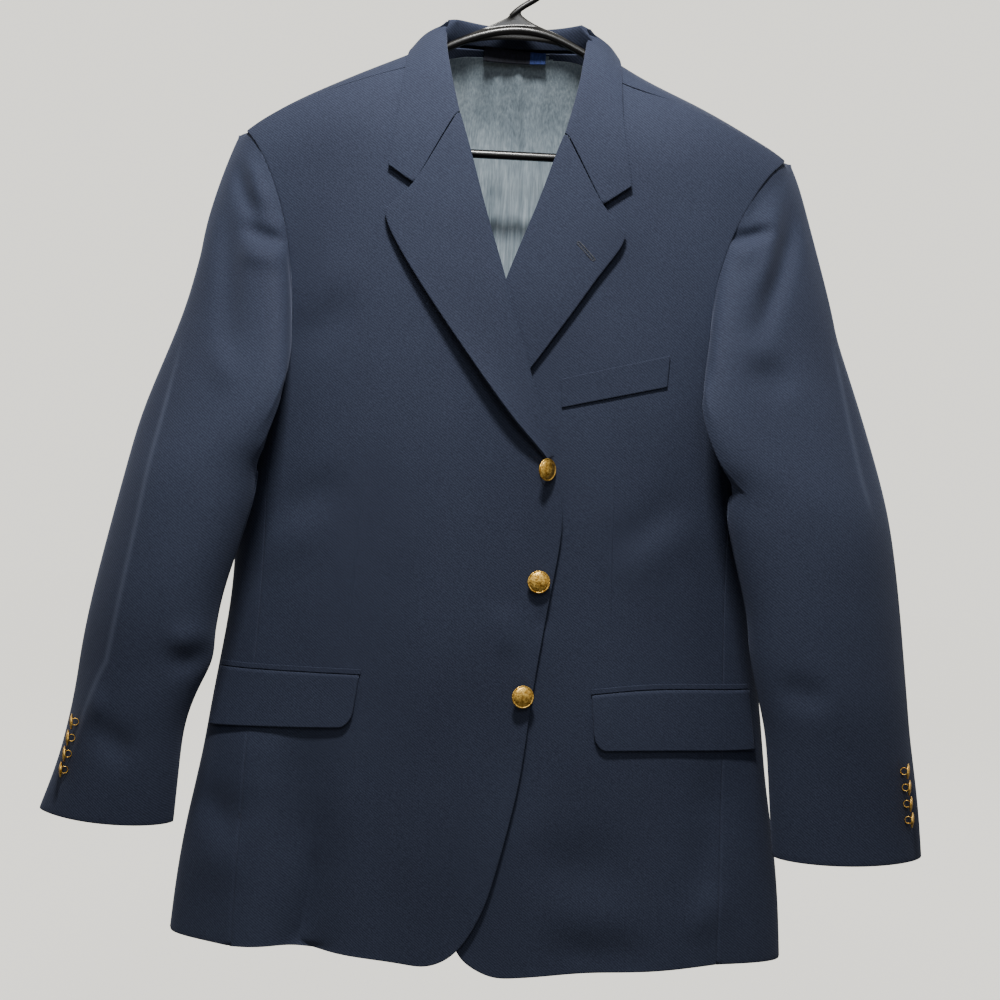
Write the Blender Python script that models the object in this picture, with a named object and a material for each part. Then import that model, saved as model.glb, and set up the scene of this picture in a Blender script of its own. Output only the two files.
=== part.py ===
"""A single-breasted navy blazer hanging on a plastic hanger, every cut piece its own thin wall."""

import math

import bpy
import numpy as np

for old in list(bpy.data.objects):
    bpy.data.objects.remove(old, do_unlink=True)

# Sizes in metres. The origin is where the hook bears on its rail. X runs to the wearer's left,
# +Z is up, the front faces -Y. Side -1 is the wearer's right, side 1 the wearer's left.
WOOL = 0.0018
LAPEL_WOOL = 0.0024
LINING = 0.0010
SEAM_GAP = 0.0003
LAPEL_ROLL = 0.0052
ROUND_SECTION = 2.2
RIDGE_Y = 0.001

# Height of the shoulder ridge at each distance from the centre: distance, height.
RIDGE = (
    (0.0, -0.0720), (0.030, -0.0770), (0.060, -0.0880), (0.084, -0.1000), (0.100, -0.1085),
    (0.1268, -0.1200), (0.160, -0.1352), (0.2034, -0.1570), (0.220, -0.1655), (0.235, -0.1745),
    (0.2456, -0.1812), (0.270, -0.1970),
)
# How far each shoulder sits above or below that height: distance, step.
RIDGE_STEP = {
    -1: (
        (0.0, 0.0), (0.050, 0.0005), (0.100, 0.0010), (0.1265, 0.0009), (0.1425, 0.0), (0.220, -0.0004),
        (0.2456, -0.0025), (0.270, -0.0025),
    ),
    1: (
        (0.0, 0.0), (0.050, -0.0012), (0.090, -0.0042), (0.100, -0.0052), (0.120, -0.0070), (0.1437, -0.0063),
        (0.190, -0.0058), (0.2155, -0.0066), (0.2446, -0.0049), (0.270, -0.0045),
    ),
}

# The body at each height: height, half width, depth in front, depth behind, where the side points.
BODY = (
    (-0.06, 0.262, 0.040, 0.050, 0.004), (-0.10, 0.262, 0.046, 0.054, 0.004),
    (-0.20, 0.262, 0.052, 0.060, 0.006), (-0.30, 0.258, 0.056, 0.062, 0.010),
    (-0.40, 0.252, 0.058, 0.060, 0.012), (-0.45, 0.247, 0.058, 0.058, 0.014),
    (-0.50, 0.243, 0.057, 0.055, 0.015), (-0.58, 0.2385, 0.056, 0.050, 0.015),
    (-0.63, 0.2415, 0.055, 0.049, 0.014), (-0.67, 0.2476, 0.054, 0.049, 0.012),
    (-0.72, 0.2545, 0.053, 0.050, 0.010), (-0.76, 0.259, 0.052, 0.051, 0.009),
    (-0.80, 0.267, 0.052, 0.052, 0.008), (-0.84, 0.273, 0.052, 0.053, 0.007),
    (-0.915, 0.2795, 0.052, 0.054, 0.006), (-0.95, 0.281, 0.052, 0.054, 0.006),
)

# How softly the front and back fall from the ridge: distance from the centre, drop, power.
SHOULDER = (
    (0.0, 0.125, 0.85), (0.07, 0.115, 0.85), (0.12, 0.085, 0.62), (0.17, 0.060, 0.5), (0.27, 0.055, 0.5),
)

# How far each front is lifted off the middle layer where the two lap: height, lift.
LAP = (
    (-0.95, 0.0028), (-0.60, 0.0028), (-0.50, 0.0036), (-0.42, 0.0044), (-0.30, 0.0044), (-0.20, 0.002),
    (-0.10, 0.0),
)

# Armhole seam on the front, from the shoulder down: height, distance. One table for each side.
ARMHOLE_FRONT = {
    -1: (
        (-0.1857, 0.2456), (-0.1925, 0.2398), (-0.2023, 0.2329), (-0.2186, 0.2229), (-0.2339, 0.2158),
        (-0.2561, 0.2075), (-0.2770, 0.2010), (-0.2941, 0.1975), (-0.3182, 0.1940), (-0.3517, 0.1910),
        (-0.3862, 0.1922), (-0.4200, 0.2010),
    ),
    1: (
        (-0.1885, 0.2446), (-0.1960, 0.2385), (-0.2080, 0.2275), (-0.2200, 0.2195), (-0.2408, 0.2079),
        (-0.2666, 0.1965), (-0.2880, 0.1895), (-0.3097, 0.1842), (-0.3350, 0.1812), (-0.3589, 0.1808),
        (-0.3900, 0.1850), (-0.4200, 0.1965),
    ),
}
ARMHOLE_BACK = (
    (-0.1842, 0.2456), (-0.1925, 0.2400), (-0.2050, 0.2320), (-0.2300, 0.2190), (-0.2700, 0.2065),
    (-0.3100, 0.1995), (-0.3500, 0.1975), (-0.3800, 0.1990), (-0.4000, 0.2030),
)
UNDERARM = -0.4520

# Seams of the side panel: height, distance.
SEAM_FRONT_SIDE = (
    (-0.4200, 0.2010), (-0.4700, 0.2065), (-0.5600, 0.2070), (-0.6400, 0.2090), (-0.7227, 0.2129),
    (-0.7564, 0.2132), (-0.8400, 0.2150), (-0.9200, 0.2157),
)
SEAM_BACK_SIDE = (
    (-0.4000, 0.2030), (-0.4800, 0.1960), (-0.5800, 0.1880), (-0.6800, 0.1920), (-0.8000, 0.2000),
    (-0.9200, 0.2050),
)

# Where the shoulder seam runs in front of the ridge: distance, drop below the ridge.
SHOULDER_SEAM = {
    -1: ((0.070, 0.020), (0.084, 0.020), (0.100, 0.018), (0.150, 0.0115), (0.200, 0.006), (0.2456, 0.0020)),
    1: (
        (0.070, 0.0250), (0.0912, 0.0234), (0.123, 0.0143), (0.1434, 0.0112), (0.160, 0.0097), (0.210, 0.0060),
        (0.2446, 0.0030),
    ),
}

# The neck from the gorge to the middle of the back: station, which sheet (-1 front, 0 ridge, 1 back),
# seam x and z, fold x, fold step in y, fold z, edge x and z. One table for each side.
NECK = {
    -1: (
        (0, -1, 0.0562, -0.1722, 0.0520, -0.0026, -0.1707, 0.1115, -0.2208),
        (1, -1, 0.0640, -0.1500, 0.0580, -0.0035, -0.1480, 0.1085, -0.1930),
        (2, -1, 0.0715, -0.1300, 0.0632, -0.0045, -0.1265, 0.1055, -0.1660),
        (3, -1, 0.0790, -0.1130, 0.0675, -0.0040, -0.1050, 0.1030, -0.1330),
        (4, 0, 0.0840, -0.0980, 0.0695, 0.0040, -0.0800, 0.1004, -0.1045),
        (5, 1, 0.0700, -0.0970, 0.0600, -0.0090, -0.0748, 0.0900, -0.1120),
        (6, 1, 0.0380, -0.0955, 0.0370, -0.0060, -0.0758, 0.0500, -0.1160),
        (7, 1, 0.0, -0.0950, 0.0, -0.0050, -0.0760, 0.0, -0.1175),
    ),
    1: (
        (0, -1, 0.0472, -0.1870, 0.0430, -0.0026, -0.1855, 0.1032, -0.2290),
        (1, -1, 0.0550, -0.1640, 0.0490, -0.0035, -0.1610, 0.0985, -0.2010),
        (2, -1, 0.0630, -0.1400, 0.0540, -0.0045, -0.1360, 0.0930, -0.1700),
        (3, -1, 0.0705, -0.1150, 0.0575, -0.0040, -0.1080, 0.0915, -0.1360),
        (4, 0, 0.0770, -0.0965, 0.0605, 0.0040, -0.0820, 0.0897, -0.1040),
        (5, 1, 0.0650, -0.0970, 0.0535, -0.0090, -0.0748, 0.0800, -0.1120),
        (6, 1, 0.0350, -0.0955, 0.0340, -0.0060, -0.0758, 0.0450, -0.1160),
        (7, 1, 0.0, -0.0950, 0.0, -0.0050, -0.0760, 0.0, -0.1175),
    ),
}

# Roll line of each lapel and then the front edge down to the hem: height, x.
ROLL = {
    -1: (
        (-0.1707, -0.0520), (-0.2023, -0.0412), (-0.2342, -0.0315), (-0.2680, -0.0209), (-0.3187, -0.0031),
        (-0.3569, 0.0077), (-0.3802, 0.0166), (-0.4033, 0.0238), (-0.4214, 0.0300), (-0.4385, 0.0358),
        (-0.4520, 0.0408), (-0.4655, 0.0450), (-0.4749, 0.0475),
    ),
    1: (
        (-0.1855, 0.0430), (-0.2021, 0.0368), (-0.2310, 0.0283), (-0.2703, 0.0145), (-0.3187, -0.0031),
        (-0.3569, -0.0139), (-0.3802, -0.0228), (-0.4033, -0.0303), (-0.4214, -0.0360), (-0.4385, -0.0420),
        (-0.4520, -0.0475), (-0.4655, -0.0510), (-0.4749, -0.0535),
    ),
}
FRONT_EDGE = {
    -1: (
        (-0.4800, 0.0487), (-0.4882, 0.0510), (-0.4985, 0.0543), (-0.5115, 0.0565), (-0.5325, 0.0578),
        (-0.5454, 0.0565), (-0.5599, 0.0549), (-0.5865, 0.0508), (-0.6218, 0.0465), (-0.6572, 0.0413),
        (-0.7013, 0.0366), (-0.7542, 0.0330), (-0.7853, 0.0270), (-0.8101, 0.0212), (-0.8324, 0.0163),
        (-0.8639, 0.0086), (-0.8891, -0.0022), (-0.9095, -0.0157), (-0.9199, -0.0301), (-0.9246, -0.0456),
    ),
    1: (
        (-0.4800, -0.0545), (-0.4882, -0.0560), (-0.4985, -0.0603), (-0.5115, -0.0625), (-0.5325, -0.0640),
        (-0.5600, -0.0635), (-0.6000, -0.0600), (-0.6500, -0.0560), (-0.7000, -0.0520), (-0.7542, -0.0490),
        (-0.8000, -0.0450), (-0.8400, -0.0400), (-0.8750, -0.0320), (-0.8975, -0.0235), (-0.9101, -0.0157),
        (-0.9195, -0.0091), (-0.9276, 0.0028), (-0.9319, 0.0153),
    ),
}

# Hem of each front: distance from the centre line towards its side, height.
HEM_FRONT = {
    -1: ((-0.06, -0.9246), (0.0456, -0.9246), (0.0642, -0.9225), (0.1403, -0.9172), (0.1662, -0.9154), (0.2157, -0.9175)),
    1: ((-0.06, -0.9319), (0.0153, -0.9319), (0.0400, -0.9300), (0.0766, -0.9260), (0.1291, -0.9210), (0.2157, -0.9130)),
}
HEM_BACK = ((0.0, -0.9190), (0.10, -0.9190), (0.205, -0.9165))
HEM_SIDE = {
    -1: ((0.0, -0.9175), (0.5, -0.9165), (1.0, -0.9165)),
    1: ((0.0, -0.9130), (0.5, -0.9140), (1.0, -0.9165)),
}

# Lapel outline: the notch, the point, and the outer edge down to the break: height, x.
NOTCH = {-1: (-0.0875, -0.2370), 1: (0.0784, -0.2475)}
LAPEL_EDGE = {
    -1: (
        (-0.2601, -0.1117), (-0.2660, -0.1115), (-0.2922, -0.0986), (-0.3299, -0.0734), (-0.3645, -0.0481),
        (-0.3976, -0.0231), (-0.4216, -0.0044), (-0.4396, 0.0102), (-0.4528, 0.0226), (-0.4637, 0.0337),
        (-0.4725, 0.0412),
    ),
    1: (
        (-0.2701, 0.0996), (-0.2758, 0.0998), (-0.3047, 0.0813), (-0.3386, 0.0598), (-0.3708, 0.0381),
        (-0.3944, 0.0222), (-0.4180, 0.0040), (-0.4396, -0.0150), (-0.4528, -0.0280), (-0.4637, -0.0390),
        (-0.4725, -0.0470),
    ),
}
# How far the lapel stands off the front at its outer edge, from the point down to the break.
LAPEL_STAND = {
    -1: ((0.0, 0.0010), (0.25, 0.0040), (0.55, 0.0080), (0.80, 0.0100), (0.93, 0.0070), (1.0, 0.0035)),
    1: ((0.0, 0.0010), (1.0, 0.0)),
}

# Outer line of each sleeve: height, distance, y.
SLEEVE_OUT = {
    -1: (
        (-0.1830, 0.2480, 0.002), (-0.1865, 0.2535, 0.003), (-0.1925, 0.2570, 0.003), (-0.2054, 0.2613, 0.002),
        (-0.2321, 0.2694, 0.001), (-0.2577, 0.2763, 0.000), (-0.2864, 0.2821, -0.001), (-0.3234, 0.2884, -0.003),
        (-0.3607, 0.2960, -0.006), (-0.3887, 0.3056, -0.010), (-0.4168, 0.3159, -0.014), (-0.4375, 0.3228, -0.018),
        (-0.4728, 0.3282, -0.024), (-0.5000, 0.3326, -0.028), (-0.5600, 0.3445, -0.032), (-0.6200, 0.3555, -0.036),
        (-0.6600, 0.3605, -0.040), (-0.6900, 0.3628, -0.042), (-0.7200, 0.3668, -0.044), (-0.7600, 0.3745, -0.046),
        (-0.8040, 0.3890, -0.048),
    ),
    1: (
        (-0.1850, 0.2470, 0.002), (-0.1882, 0.2525, 0.003), (-0.1985, 0.2581, 0.003), (-0.2211, 0.2648, 0.002),
        (-0.2482, 0.2726, 0.000), (-0.2752, 0.2814, -0.001), (-0.3024, 0.2883, -0.002), (-0.3241, 0.2945, -0.003),
        (-0.3565, 0.3043, -0.006), (-0.3834, 0.3139, -0.010), (-0.4104, 0.3226, -0.014), (-0.4377, 0.3309, -0.019),
        (-0.4647, 0.3385, -0.023), (-0.5000, 0.3482, -0.026), (-0.5600, 0.3585, -0.030), (-0.6300, 0.3665, -0.036),
        (-0.6600, 0.3695, -0.040), (-0.7000, 0.3742, -0.042), (-0.7450, 0.3813, -0.046), (-0.8070, 0.3902, -0.048),
    ),
}
# Inner line of each sleeve below the underarm: height, distance, y, half depth.
SLEEVE_IN = {
    -1: (
        (-0.5000, 0.2075, -0.064, 0.050), (-0.5300, 0.2145, -0.066, 0.050), (-0.5765, 0.2270, -0.067, 0.049),
        (-0.6106, 0.2375, -0.068, 0.048), (-0.6400, 0.2400, -0.068, 0.046), (-0.6624, 0.2400, -0.068, 0.044),
        (-0.6742, 0.2455, -0.068, 0.043), (-0.7028, 0.2580, -0.068, 0.041), (-0.7202, 0.2628, -0.067, 0.040),
        (-0.7557, 0.2652, -0.066, 0.037), (-0.8040, 0.2680, -0.064, 0.034),
    ),
    1: (
        (-0.5000, 0.1955, -0.070, 0.045), (-0.5400, 0.2045, -0.071, 0.045), (-0.6045, 0.2232, -0.071, 0.044),
        (-0.6223, 0.2235, -0.070, 0.044), (-0.6603, 0.2326, -0.069, 0.043), (-0.6884, 0.2402, -0.068, 0.041),
        (-0.7085, 0.2450, -0.067, 0.039), (-0.7428, 0.2481, -0.066, 0.036), (-0.8070, 0.2555, -0.064, 0.034),
    ),
}
# The cap fans out from the armhole in steps: outer height, front x step, y and height, inner x, y and
# height, back x step, y and height, and how much of the armhole's own outline is left.
CAP = (
    (-0.1830, 0.0000, -0.0420, -0.3450, 0.2465, 0.0140, -0.4520, 0.0000, 0.0440, -0.3400, 1.0),
    (-0.1885, -0.0010, -0.0500, -0.3520, 0.2480, 0.0080, -0.4560, 0.0060, 0.0490, -0.3480, 0.94),
    (-0.2060, -0.0010, -0.0620, -0.3640, 0.2485, -0.0020, -0.4600, 0.0130, 0.0515, -0.3600, 0.82),
    (-0.2450, 0.0010, -0.0750, -0.3800, 0.2465, -0.0140, -0.4645, 0.0220, 0.0505, -0.3760, 0.64),
    (-0.2950, 0.0060, -0.0840, -0.4000, 0.2420, -0.0270, -0.4695, 0.0310, 0.0460, -0.3950, 0.44),
    (-0.3450, 0.0150, -0.0905, -0.4220, 0.2320, -0.0400, -0.4755, 0.0410, 0.0385, -0.4180, 0.26),
    (-0.3950, 0.0300, -0.0940, -0.4470, 0.2225, -0.0520, -0.4825, 0.0520, 0.0285, -0.4430, 0.12),
    (-0.4500, 0.0520, -0.0950, -0.4740, 0.2160, -0.0600, -0.4910, 0.0650, 0.0165, -0.4710, 0.04),
)
CUFF_ROWS = {
    -1: (-0.50, -0.55, -0.60, -0.635, -0.662, -0.68, -0.70, -0.725, -0.76, -0.804),
    1: (-0.50, -0.55, -0.60, -0.625, -0.655, -0.68, -0.70, -0.73, -0.765, -0.807),
}
# Angles round the sleeve in degrees from its outer line towards the front, by height: hind seam, fore seam.
SLEEVE_SEAMS = (
    (-0.85, -12, 176), (-0.80, -12, 176), (-0.70, -20, 176), (-0.60, -32, 176), (-0.50, -42, 174),
    (-0.40, -50, 170), (-0.30, -58, 168), (-0.20, -62, 168), (-0.10, -62, 168),
)
# The pressed crease of each sleeve: height, angle, how far it stands out.
CREASE = {
    -1: (
        (-0.85, 15, 0.0012), (-0.804, 20, 0.0016), (-0.790, 42, 0.0020), (-0.767, 45, 0.0022), (-0.730, 53, 0.0024),
        (-0.700, 60, 0.0024), (-0.660, 71, 0.0022), (-0.600, 72, 0.0022), (-0.500, 69, 0.0022),
        (-0.440, 62, 0.0020), (-0.385, 50, 0.0014), (-0.300, 35, 0.0), (-0.100, 35, 0.0),
    ),
    1: (
        (-0.85, 30, 0.0), (-0.700, 40, 0.0006), (-0.600, 54, 0.0012), (-0.537, 55, 0.0020), (-0.495, 56, 0.0022),
        (-0.453, 53, 0.0022), (-0.397, 45, 0.0016), (-0.300, 35, 0.0), (-0.100, 35, 0.0),
    ),
}
# Where the front of the sleeve folds over below the armhole: cap row, distance, y, height.
FORE_FOLD = {
    -1: (
        (1, 0.1975, -0.0460, -0.4150), (2, 0.1945, -0.0570, -0.4180), (3, 0.1940, -0.0670, -0.4240),
        (4, 0.1940, -0.0750, -0.4340), (5, 0.1955, -0.0810, -0.4470), (6, 0.1990, -0.0840, -0.4630),
        (7, 0.2060, -0.0870, -0.4820),
    ),
    1: (
        (1, 0.1880, -0.0480, -0.4120), (2, 0.1825, -0.0590, -0.4150), (3, 0.1785, -0.0700, -0.4200),
        (4, 0.1765, -0.0780, -0.4300), (5, 0.1780, -0.0840, -0.4440), (6, 0.1830, -0.0880, -0.4600),
        (7, 0.1930, -0.0900, -0.4800),
    ),
}
# How far the hind side of the sleeve is held off the body, by ring.
HIND_CLEAR = (
    (0, 0.0), (1, 0.0015), (2, 0.003), (3, 0.005), (4, 0.007), (5, 0.008), (6, 0.008), (7, 0.0065), (8, 0.004),
    (9, 0.002), (10, 0.0),
)

# Pockets: flap ends, and their upper and lower lines: distance, height.
FLAP_TOP = {
    -1: ((0.1135, -0.6703), (0.16, -0.6712), (0.2472, -0.6732)),
    1: ((0.0915, -0.6771), (0.1333, -0.6716), (0.2361, -0.6693), (0.245, -0.6692)),
}
FLAP_LOW = {
    -1: ((0.1135, -0.7165), (0.1454, -0.7188), (0.2115, -0.7232), (0.2560, -0.7270)),
    1: ((0.0915, -0.7262), (0.1668, -0.7236), (0.2455, -0.7226), (0.256, -0.7222)),
}
FLAP_FRONT = {-1: (0.1136, 0.1188), 1: (0.0917, 0.0962)}
FLAP_REAR = {-1: 0.972, 1: 0.945}
WELT = ((0.0501, -0.4013), (0.1445, -0.3754), (0.1434, -0.4031), (0.0518, -0.4263))

FRONT_BUTTONS = ((0.0398, -0.4816, 42.0), (0.0397, -0.5796, 4.0), (0.0310, -0.6805, 14.0))
FRONT_BUTTON_WIDTH = 0.0200
CUFF_BUTTON_WIDTH = 0.0137
CUFF_BUTTONS = {-1: (-0.7195, -0.7335, -0.7475, -0.7615), 1: (-0.7255, -0.7395, -0.7535, -0.7675)}
CUFF_BUTTON_TURN = {-1: 50.0, 1: 46.0}
LABEL = (-0.0345, 0.0228, -0.0925, -0.1070)

BAR_HEIGHT = -0.1955
ARM_HALF = 0.0042


def smooth(rows, key):
    """Values at a key, by a cubic through the rows, whose first column is the key."""
    rows = np.array(sorted(rows), float)
    at, values = rows[:, 0], rows[:, 1:]
    slopes = np.gradient(values, at, axis=0)
    key = np.clip(np.asarray(key, float), at[0], at[-1])
    i = np.clip(np.searchsorted(at, key, side="right") - 1, 0, len(at) - 2)
    span = (at[i + 1] - at[i])[..., None]
    u = (key - at[i])[..., None] / span
    near, far = values[i], values[i + 1]
    start, end = slopes[i] * span, slopes[i + 1] * span
    found = (2 * u**3 - 3 * u**2 + 1) * near + (u**3 - 2 * u**2 + u) * start
    return found + (3 * u**2 - 2 * u**3) * far + (u**3 - u**2) * end


def ease(value):
    value = np.clip(value, 0.0, 1.0)
    return value * value * (3 - 2 * value)


def hill(value, centre, width):
    return np.exp(-(((value - centre) / width) ** 2))


def ridge(x):
    """Height of the shoulder ridge, a little lower on the wearer's left."""
    step = np.where(x < 0, smooth(RIDGE_STEP[-1], np.abs(x))[..., 0], smooth(RIDGE_STEP[1], np.abs(x))[..., 0])
    return smooth(RIDGE, np.abs(x))[..., 0] + step


def softness(x, height):
    """0 on the ridge and 1 below the shoulder's rounding."""
    fall, power = np.moveaxis(smooth(SHOULDER, np.abs(x)), -1, 0)
    down = np.clip((ridge(x) - height) / fall, 0.0, 1.0)
    return (1 - (1 - down) ** 2) ** power


def bulge(x, height):
    width = smooth(BODY, height)[..., 0]
    across = np.clip(np.abs(x) / width, 0.0, 1.0)
    return (1 - across**ROUND_SECTION) ** (1 / ROUND_SECTION)


def ripple(x, height):
    """Soft waves of the fronts, deepest at the hem."""
    low = ease((-height - 0.70) / 0.21)
    right = 0.011 * hill(x, -0.205, 0.030) - 0.021 * hill(x, -0.152, 0.022) - 0.003 * hill(x, -0.06, 0.03)
    left = 0.006 * hill(x, 0.165, 0.040) - 0.006 * hill(x, 0.095, 0.030)
    return low * (right + left)


def front_y(x, height, side):
    width, depth, _, tip = np.moveaxis(smooth(BODY, height), -1, 0)
    round_part = bulge(x, height)
    lift = smooth(LAP, height)[..., 0] * ease((0.10 + side * -x) / 0.09)
    out = (depth + tip + ripple(x, height)) * round_part - side * lift
    soft = softness(x, height)
    return (tip - out) * soft + RIDGE_Y * (1 - soft)


def back_y(x, height):
    depth, tip = np.moveaxis(smooth(BODY, height)[..., 2:], -1, 0)
    soft = softness(x, height)
    return (tip + (depth - tip) * bulge(x, height)) * soft + RIDGE_Y * (1 - soft)


def on_front(x, height, side):
    x, height = np.broadcast_arrays(np.asarray(x, float), np.asarray(height, float))
    return np.stack([x, front_y(x, height, side), height], axis=-1)


def on_back(x, height):
    x, height = np.broadcast_arrays(np.asarray(x, float), np.asarray(height, float))
    return np.stack([x, back_y(x, height), height], axis=-1)


def normals(grid):
    down = np.gradient(grid, axis=0)
    along = np.gradient(grid, axis=1)
    found = np.cross(down, along)
    return found / np.maximum(np.linalg.norm(found, axis=-1, keepdims=True), 1e-12)


def faced(grid, facing):
    """Normals on the side of the sheet that looks along facing, judged in its middle."""
    found = normals(grid)
    middle = found[found.shape[0] // 2, found.shape[1] // 2]
    return found if np.dot(middle, facing) > 0 else -found


def material(name, colour, roughness, metallic=0.0):
    made = bpy.data.materials.get(name)
    if made:
        return made
    made = bpy.data.materials.new(name)
    made.use_nodes = True
    shader = made.node_tree.nodes["Principled BSDF"]
    shader.inputs["Base Color"].default_value = (*colour, 1.0)
    shader.inputs["Roughness"].default_value = roughness
    shader.inputs["Metallic"].default_value = metallic
    return made


NAVY = material("navy wool", (0.012, 0.018, 0.035), 0.85)
SATIN = material("grey green lining", (0.10, 0.13, 0.14), 0.45)
GOLD = material("polished brass", (0.75, 0.52, 0.16), 0.25, 1.0)
BLACK = material("black plastic", (0.008, 0.008, 0.009), 0.25)
LABEL_SATIN = material("label satin", (0.010, 0.012, 0.030), 0.5)


def add(name, points, faces, finish):
    mesh = bpy.data.meshes.new(name)
    mesh.from_pydata([tuple(map(float, p)) for p in points], [], faces)
    mesh.update()
    mesh.materials.append(finish)
    thing = bpy.data.objects.new(name, mesh)
    bpy.context.scene.collection.objects.link(thing)
    return thing


def wall(name, grid, thick, facing, finish, out=None):
    """A closed wall of even thickness about a grid of points, along the normals given or its own."""
    own = faced(grid, facing)
    turned = np.dot(own[1, 1], normals(grid)[1, 1]) < 0
    out = own if out is None else out
    rows, columns = grid.shape[:2]
    points = np.concatenate([(grid + out * thick / 2).reshape(-1, 3), (grid - out * thick / 2).reshape(-1, 3)])
    under = rows * columns
    faces = []
    for i in range(rows - 1):
        for j in range(columns - 1):
            a, b = i * columns + j, (i + 1) * columns + j
            faces.append((a, b, b + 1, a + 1))
            faces.append((a + under, a + 1 + under, b + 1 + under, b + under))
    rim = [j for j in range(columns)] + [i * columns + columns - 1 for i in range(1, rows)]
    rim += [(rows - 1) * columns + j for j in range(columns - 2, -1, -1)]
    rim += [i * columns for i in range(rows - 2, 0, -1)]
    for a, b in zip(rim, rim[1:] + rim[:1]):
        faces.append((a, b, b + under, a + under))
    if turned:
        faces = [tuple(reversed(face)) for face in faces]
    return add(name, points, faces, finish)


def inset(grid, start=0.0, end=0.0, left=0.0, right=0.0):
    """The grid with its border rows and columns drawn in by these lengths."""
    moved = grid.copy()
    for amount, edge, inner in ((start, np.s_[0, :], np.s_[1, :]), (end, np.s_[-1, :], np.s_[-2, :]),
                                (left, np.s_[:, 0], np.s_[:, 1]), (right, np.s_[:, -1], np.s_[:, -2])):
        step = moved[inner] - moved[edge]
        moved[edge] = moved[edge] + amount * step / np.linalg.norm(step, axis=-1, keepdims=True)
    return moved


def blend(top, low, inner, outer, across, down):
    """A patch between four curves: top and low by column, inner and outer by row."""
    f, s = across[None, :, None], down[:, None, None]
    ruled = (1 - s) * top[None] + s * low[None] + (1 - f) * inner[:, None] + f * outer[:, None]
    corners = (1 - s) * ((1 - f) * top[0] + f * top[-1]) + s * ((1 - f) * low[0] + f * low[-1])
    return ruled - corners


LAPEL_ROWS = np.array((0, 0.05, 0.11, 0.20, 0.30, 0.40, 0.50, 0.60, 0.70, 0.79, 0.87, 0.94, 1.0))
COLUMNS = np.array((0, 0.10, 0.22, 0.34, 0.46, 0.58, 0.70, 0.81, 0.91, 1.0))


def seam_height(x, side):
    return ridge(side * x) - smooth(SHOULDER_SEAM[side], x)[..., 0]


def armhole_back(side):
    """The armhole on the back, let down to the lower shoulder of the wearer's left."""
    if side < 0:
        return ARMHOLE_BACK
    fade = [1 - float(ease((-0.1842 - z) / 0.10)) for z, x in ARMHOLE_BACK]
    return tuple((z - 0.0034 * f, x - 0.0010 * f) for f, (z, x) in zip(fade, ARMHOLE_BACK))


def side_seam_rows(side, behind):
    """The armhole and the seam below it in one table: minus height, distance."""
    if behind:
        rows = armhole_back(side) + SEAM_BACK_SIDE[1:]
    else:
        seam = SEAM_FRONT_SIDE
        if side > 0:
            seam = tuple((z, x - 0.0045 * float(ease((z + 0.50) / 0.08))) for z, x in seam)
        rows = ARMHOLE_FRONT[side] + seam[1:]
    return [(-z, x) for z, x in rows]


def neck_curve(side, k):
    """Distance and height of the neck seam at station k, never above the ridge."""
    x, z = np.moveaxis(smooth([(row[0], row[2], row[3]) for row in NECK[side]], k), -1, 0)
    return x, np.minimum(z, ridge(side * x))


def neck_corner(side):
    """The station where the shoulder seam meets the neck seam."""
    k = np.linspace(1.5, 4.0, 501)
    x, z = neck_curve(side, k)
    above = z - (ridge(side * x) - smooth(SHOULDER_SEAM[side], x)[..., 0])
    return float(np.interp(0.0, above, k))


def lapel_rows(side):
    """Heights of the roll line that the front and its lapel share."""
    first, last = ROLL[side][0][0] - 0.0016, -0.4700
    return first + (last - first) * LAPEL_ROWS


def front_inner(side):
    """Inner border of the front: heights and x."""
    corner_x, corner_z = neck_curve(side, neck_corner(side))
    first = lapel_rows(side)[0]
    steps = np.array((0.0, 0.05, 0.14, 0.28, 0.48, 0.74))
    above = corner_z + (first - corner_z) * steps
    inner_k = np.linspace(0, neck_corner(side), 60)
    x, z = neck_curve(side, inner_k)
    above_x = side * np.interp(-above, -z[::-1], x[::-1])
    lapel_z = lapel_rows(side)
    lapel_x = smooth([(-a, b) for a, b in ROLL[side]], -lapel_z)[..., 0] + side * 0.0046
    below_z = np.array((-0.4768, -0.4882, -0.5010, -0.5150, -0.5350, -0.5599, -0.5950, -0.6400, -0.6900, -0.7450,
                        -0.7950, -0.8324, -0.8639, -0.8891, -0.9095, -0.9199))
    below_z = np.append(below_z, FRONT_EDGE[side][-1][0])
    below_x = smooth([(-a, b) for a, b in ROLL[side][-3:] + FRONT_EDGE[side]], -below_z)[..., 0]
    return np.concatenate([above, lapel_z, below_z]), np.concatenate([above_x, lapel_x, below_x])


def front_panel(side):
    """The front from the shoulder seam to the hem; the neck and roll line are its inner border."""
    inner_z, inner_x = front_inner(side)
    neck_x = inner_x[0] * side
    shoulder = ARMHOLE_FRONT[side][0]
    across_top = neck_x + (shoulder[1] - neck_x) * COLUMNS
    top = np.stack([side * across_top, seam_height(across_top, side)], axis=-1)
    inner_z[0] = top[0, 1]
    down = (inner_z - inner_z[0]) / (inner_z[-1] - inner_z[0])
    end_z = HEM_FRONT[side][-1][1]
    outer_z = shoulder[0] + (end_z - shoulder[0]) * down
    low_seam = int(np.argmin(np.abs(outer_z + 0.4200)))
    outer_z[low_seam] = -0.4200
    outer_x = side * smooth(side_seam_rows(side, False), -outer_z)[..., 0]
    start_x, end_x = inner_x[-1] * side, outer_x[-1] * side
    hem_x = start_x + (end_x - start_x) * COLUMNS
    low = np.stack([side * hem_x, smooth(HEM_FRONT[side], hem_x)[..., 0]], axis=-1)
    flat = blend(top, low, np.stack([inner_x, inner_z], -1), np.stack([outer_x, outer_z], -1), COLUMNS, down)
    return on_front(flat[..., 0], flat[..., 1], side)


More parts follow.
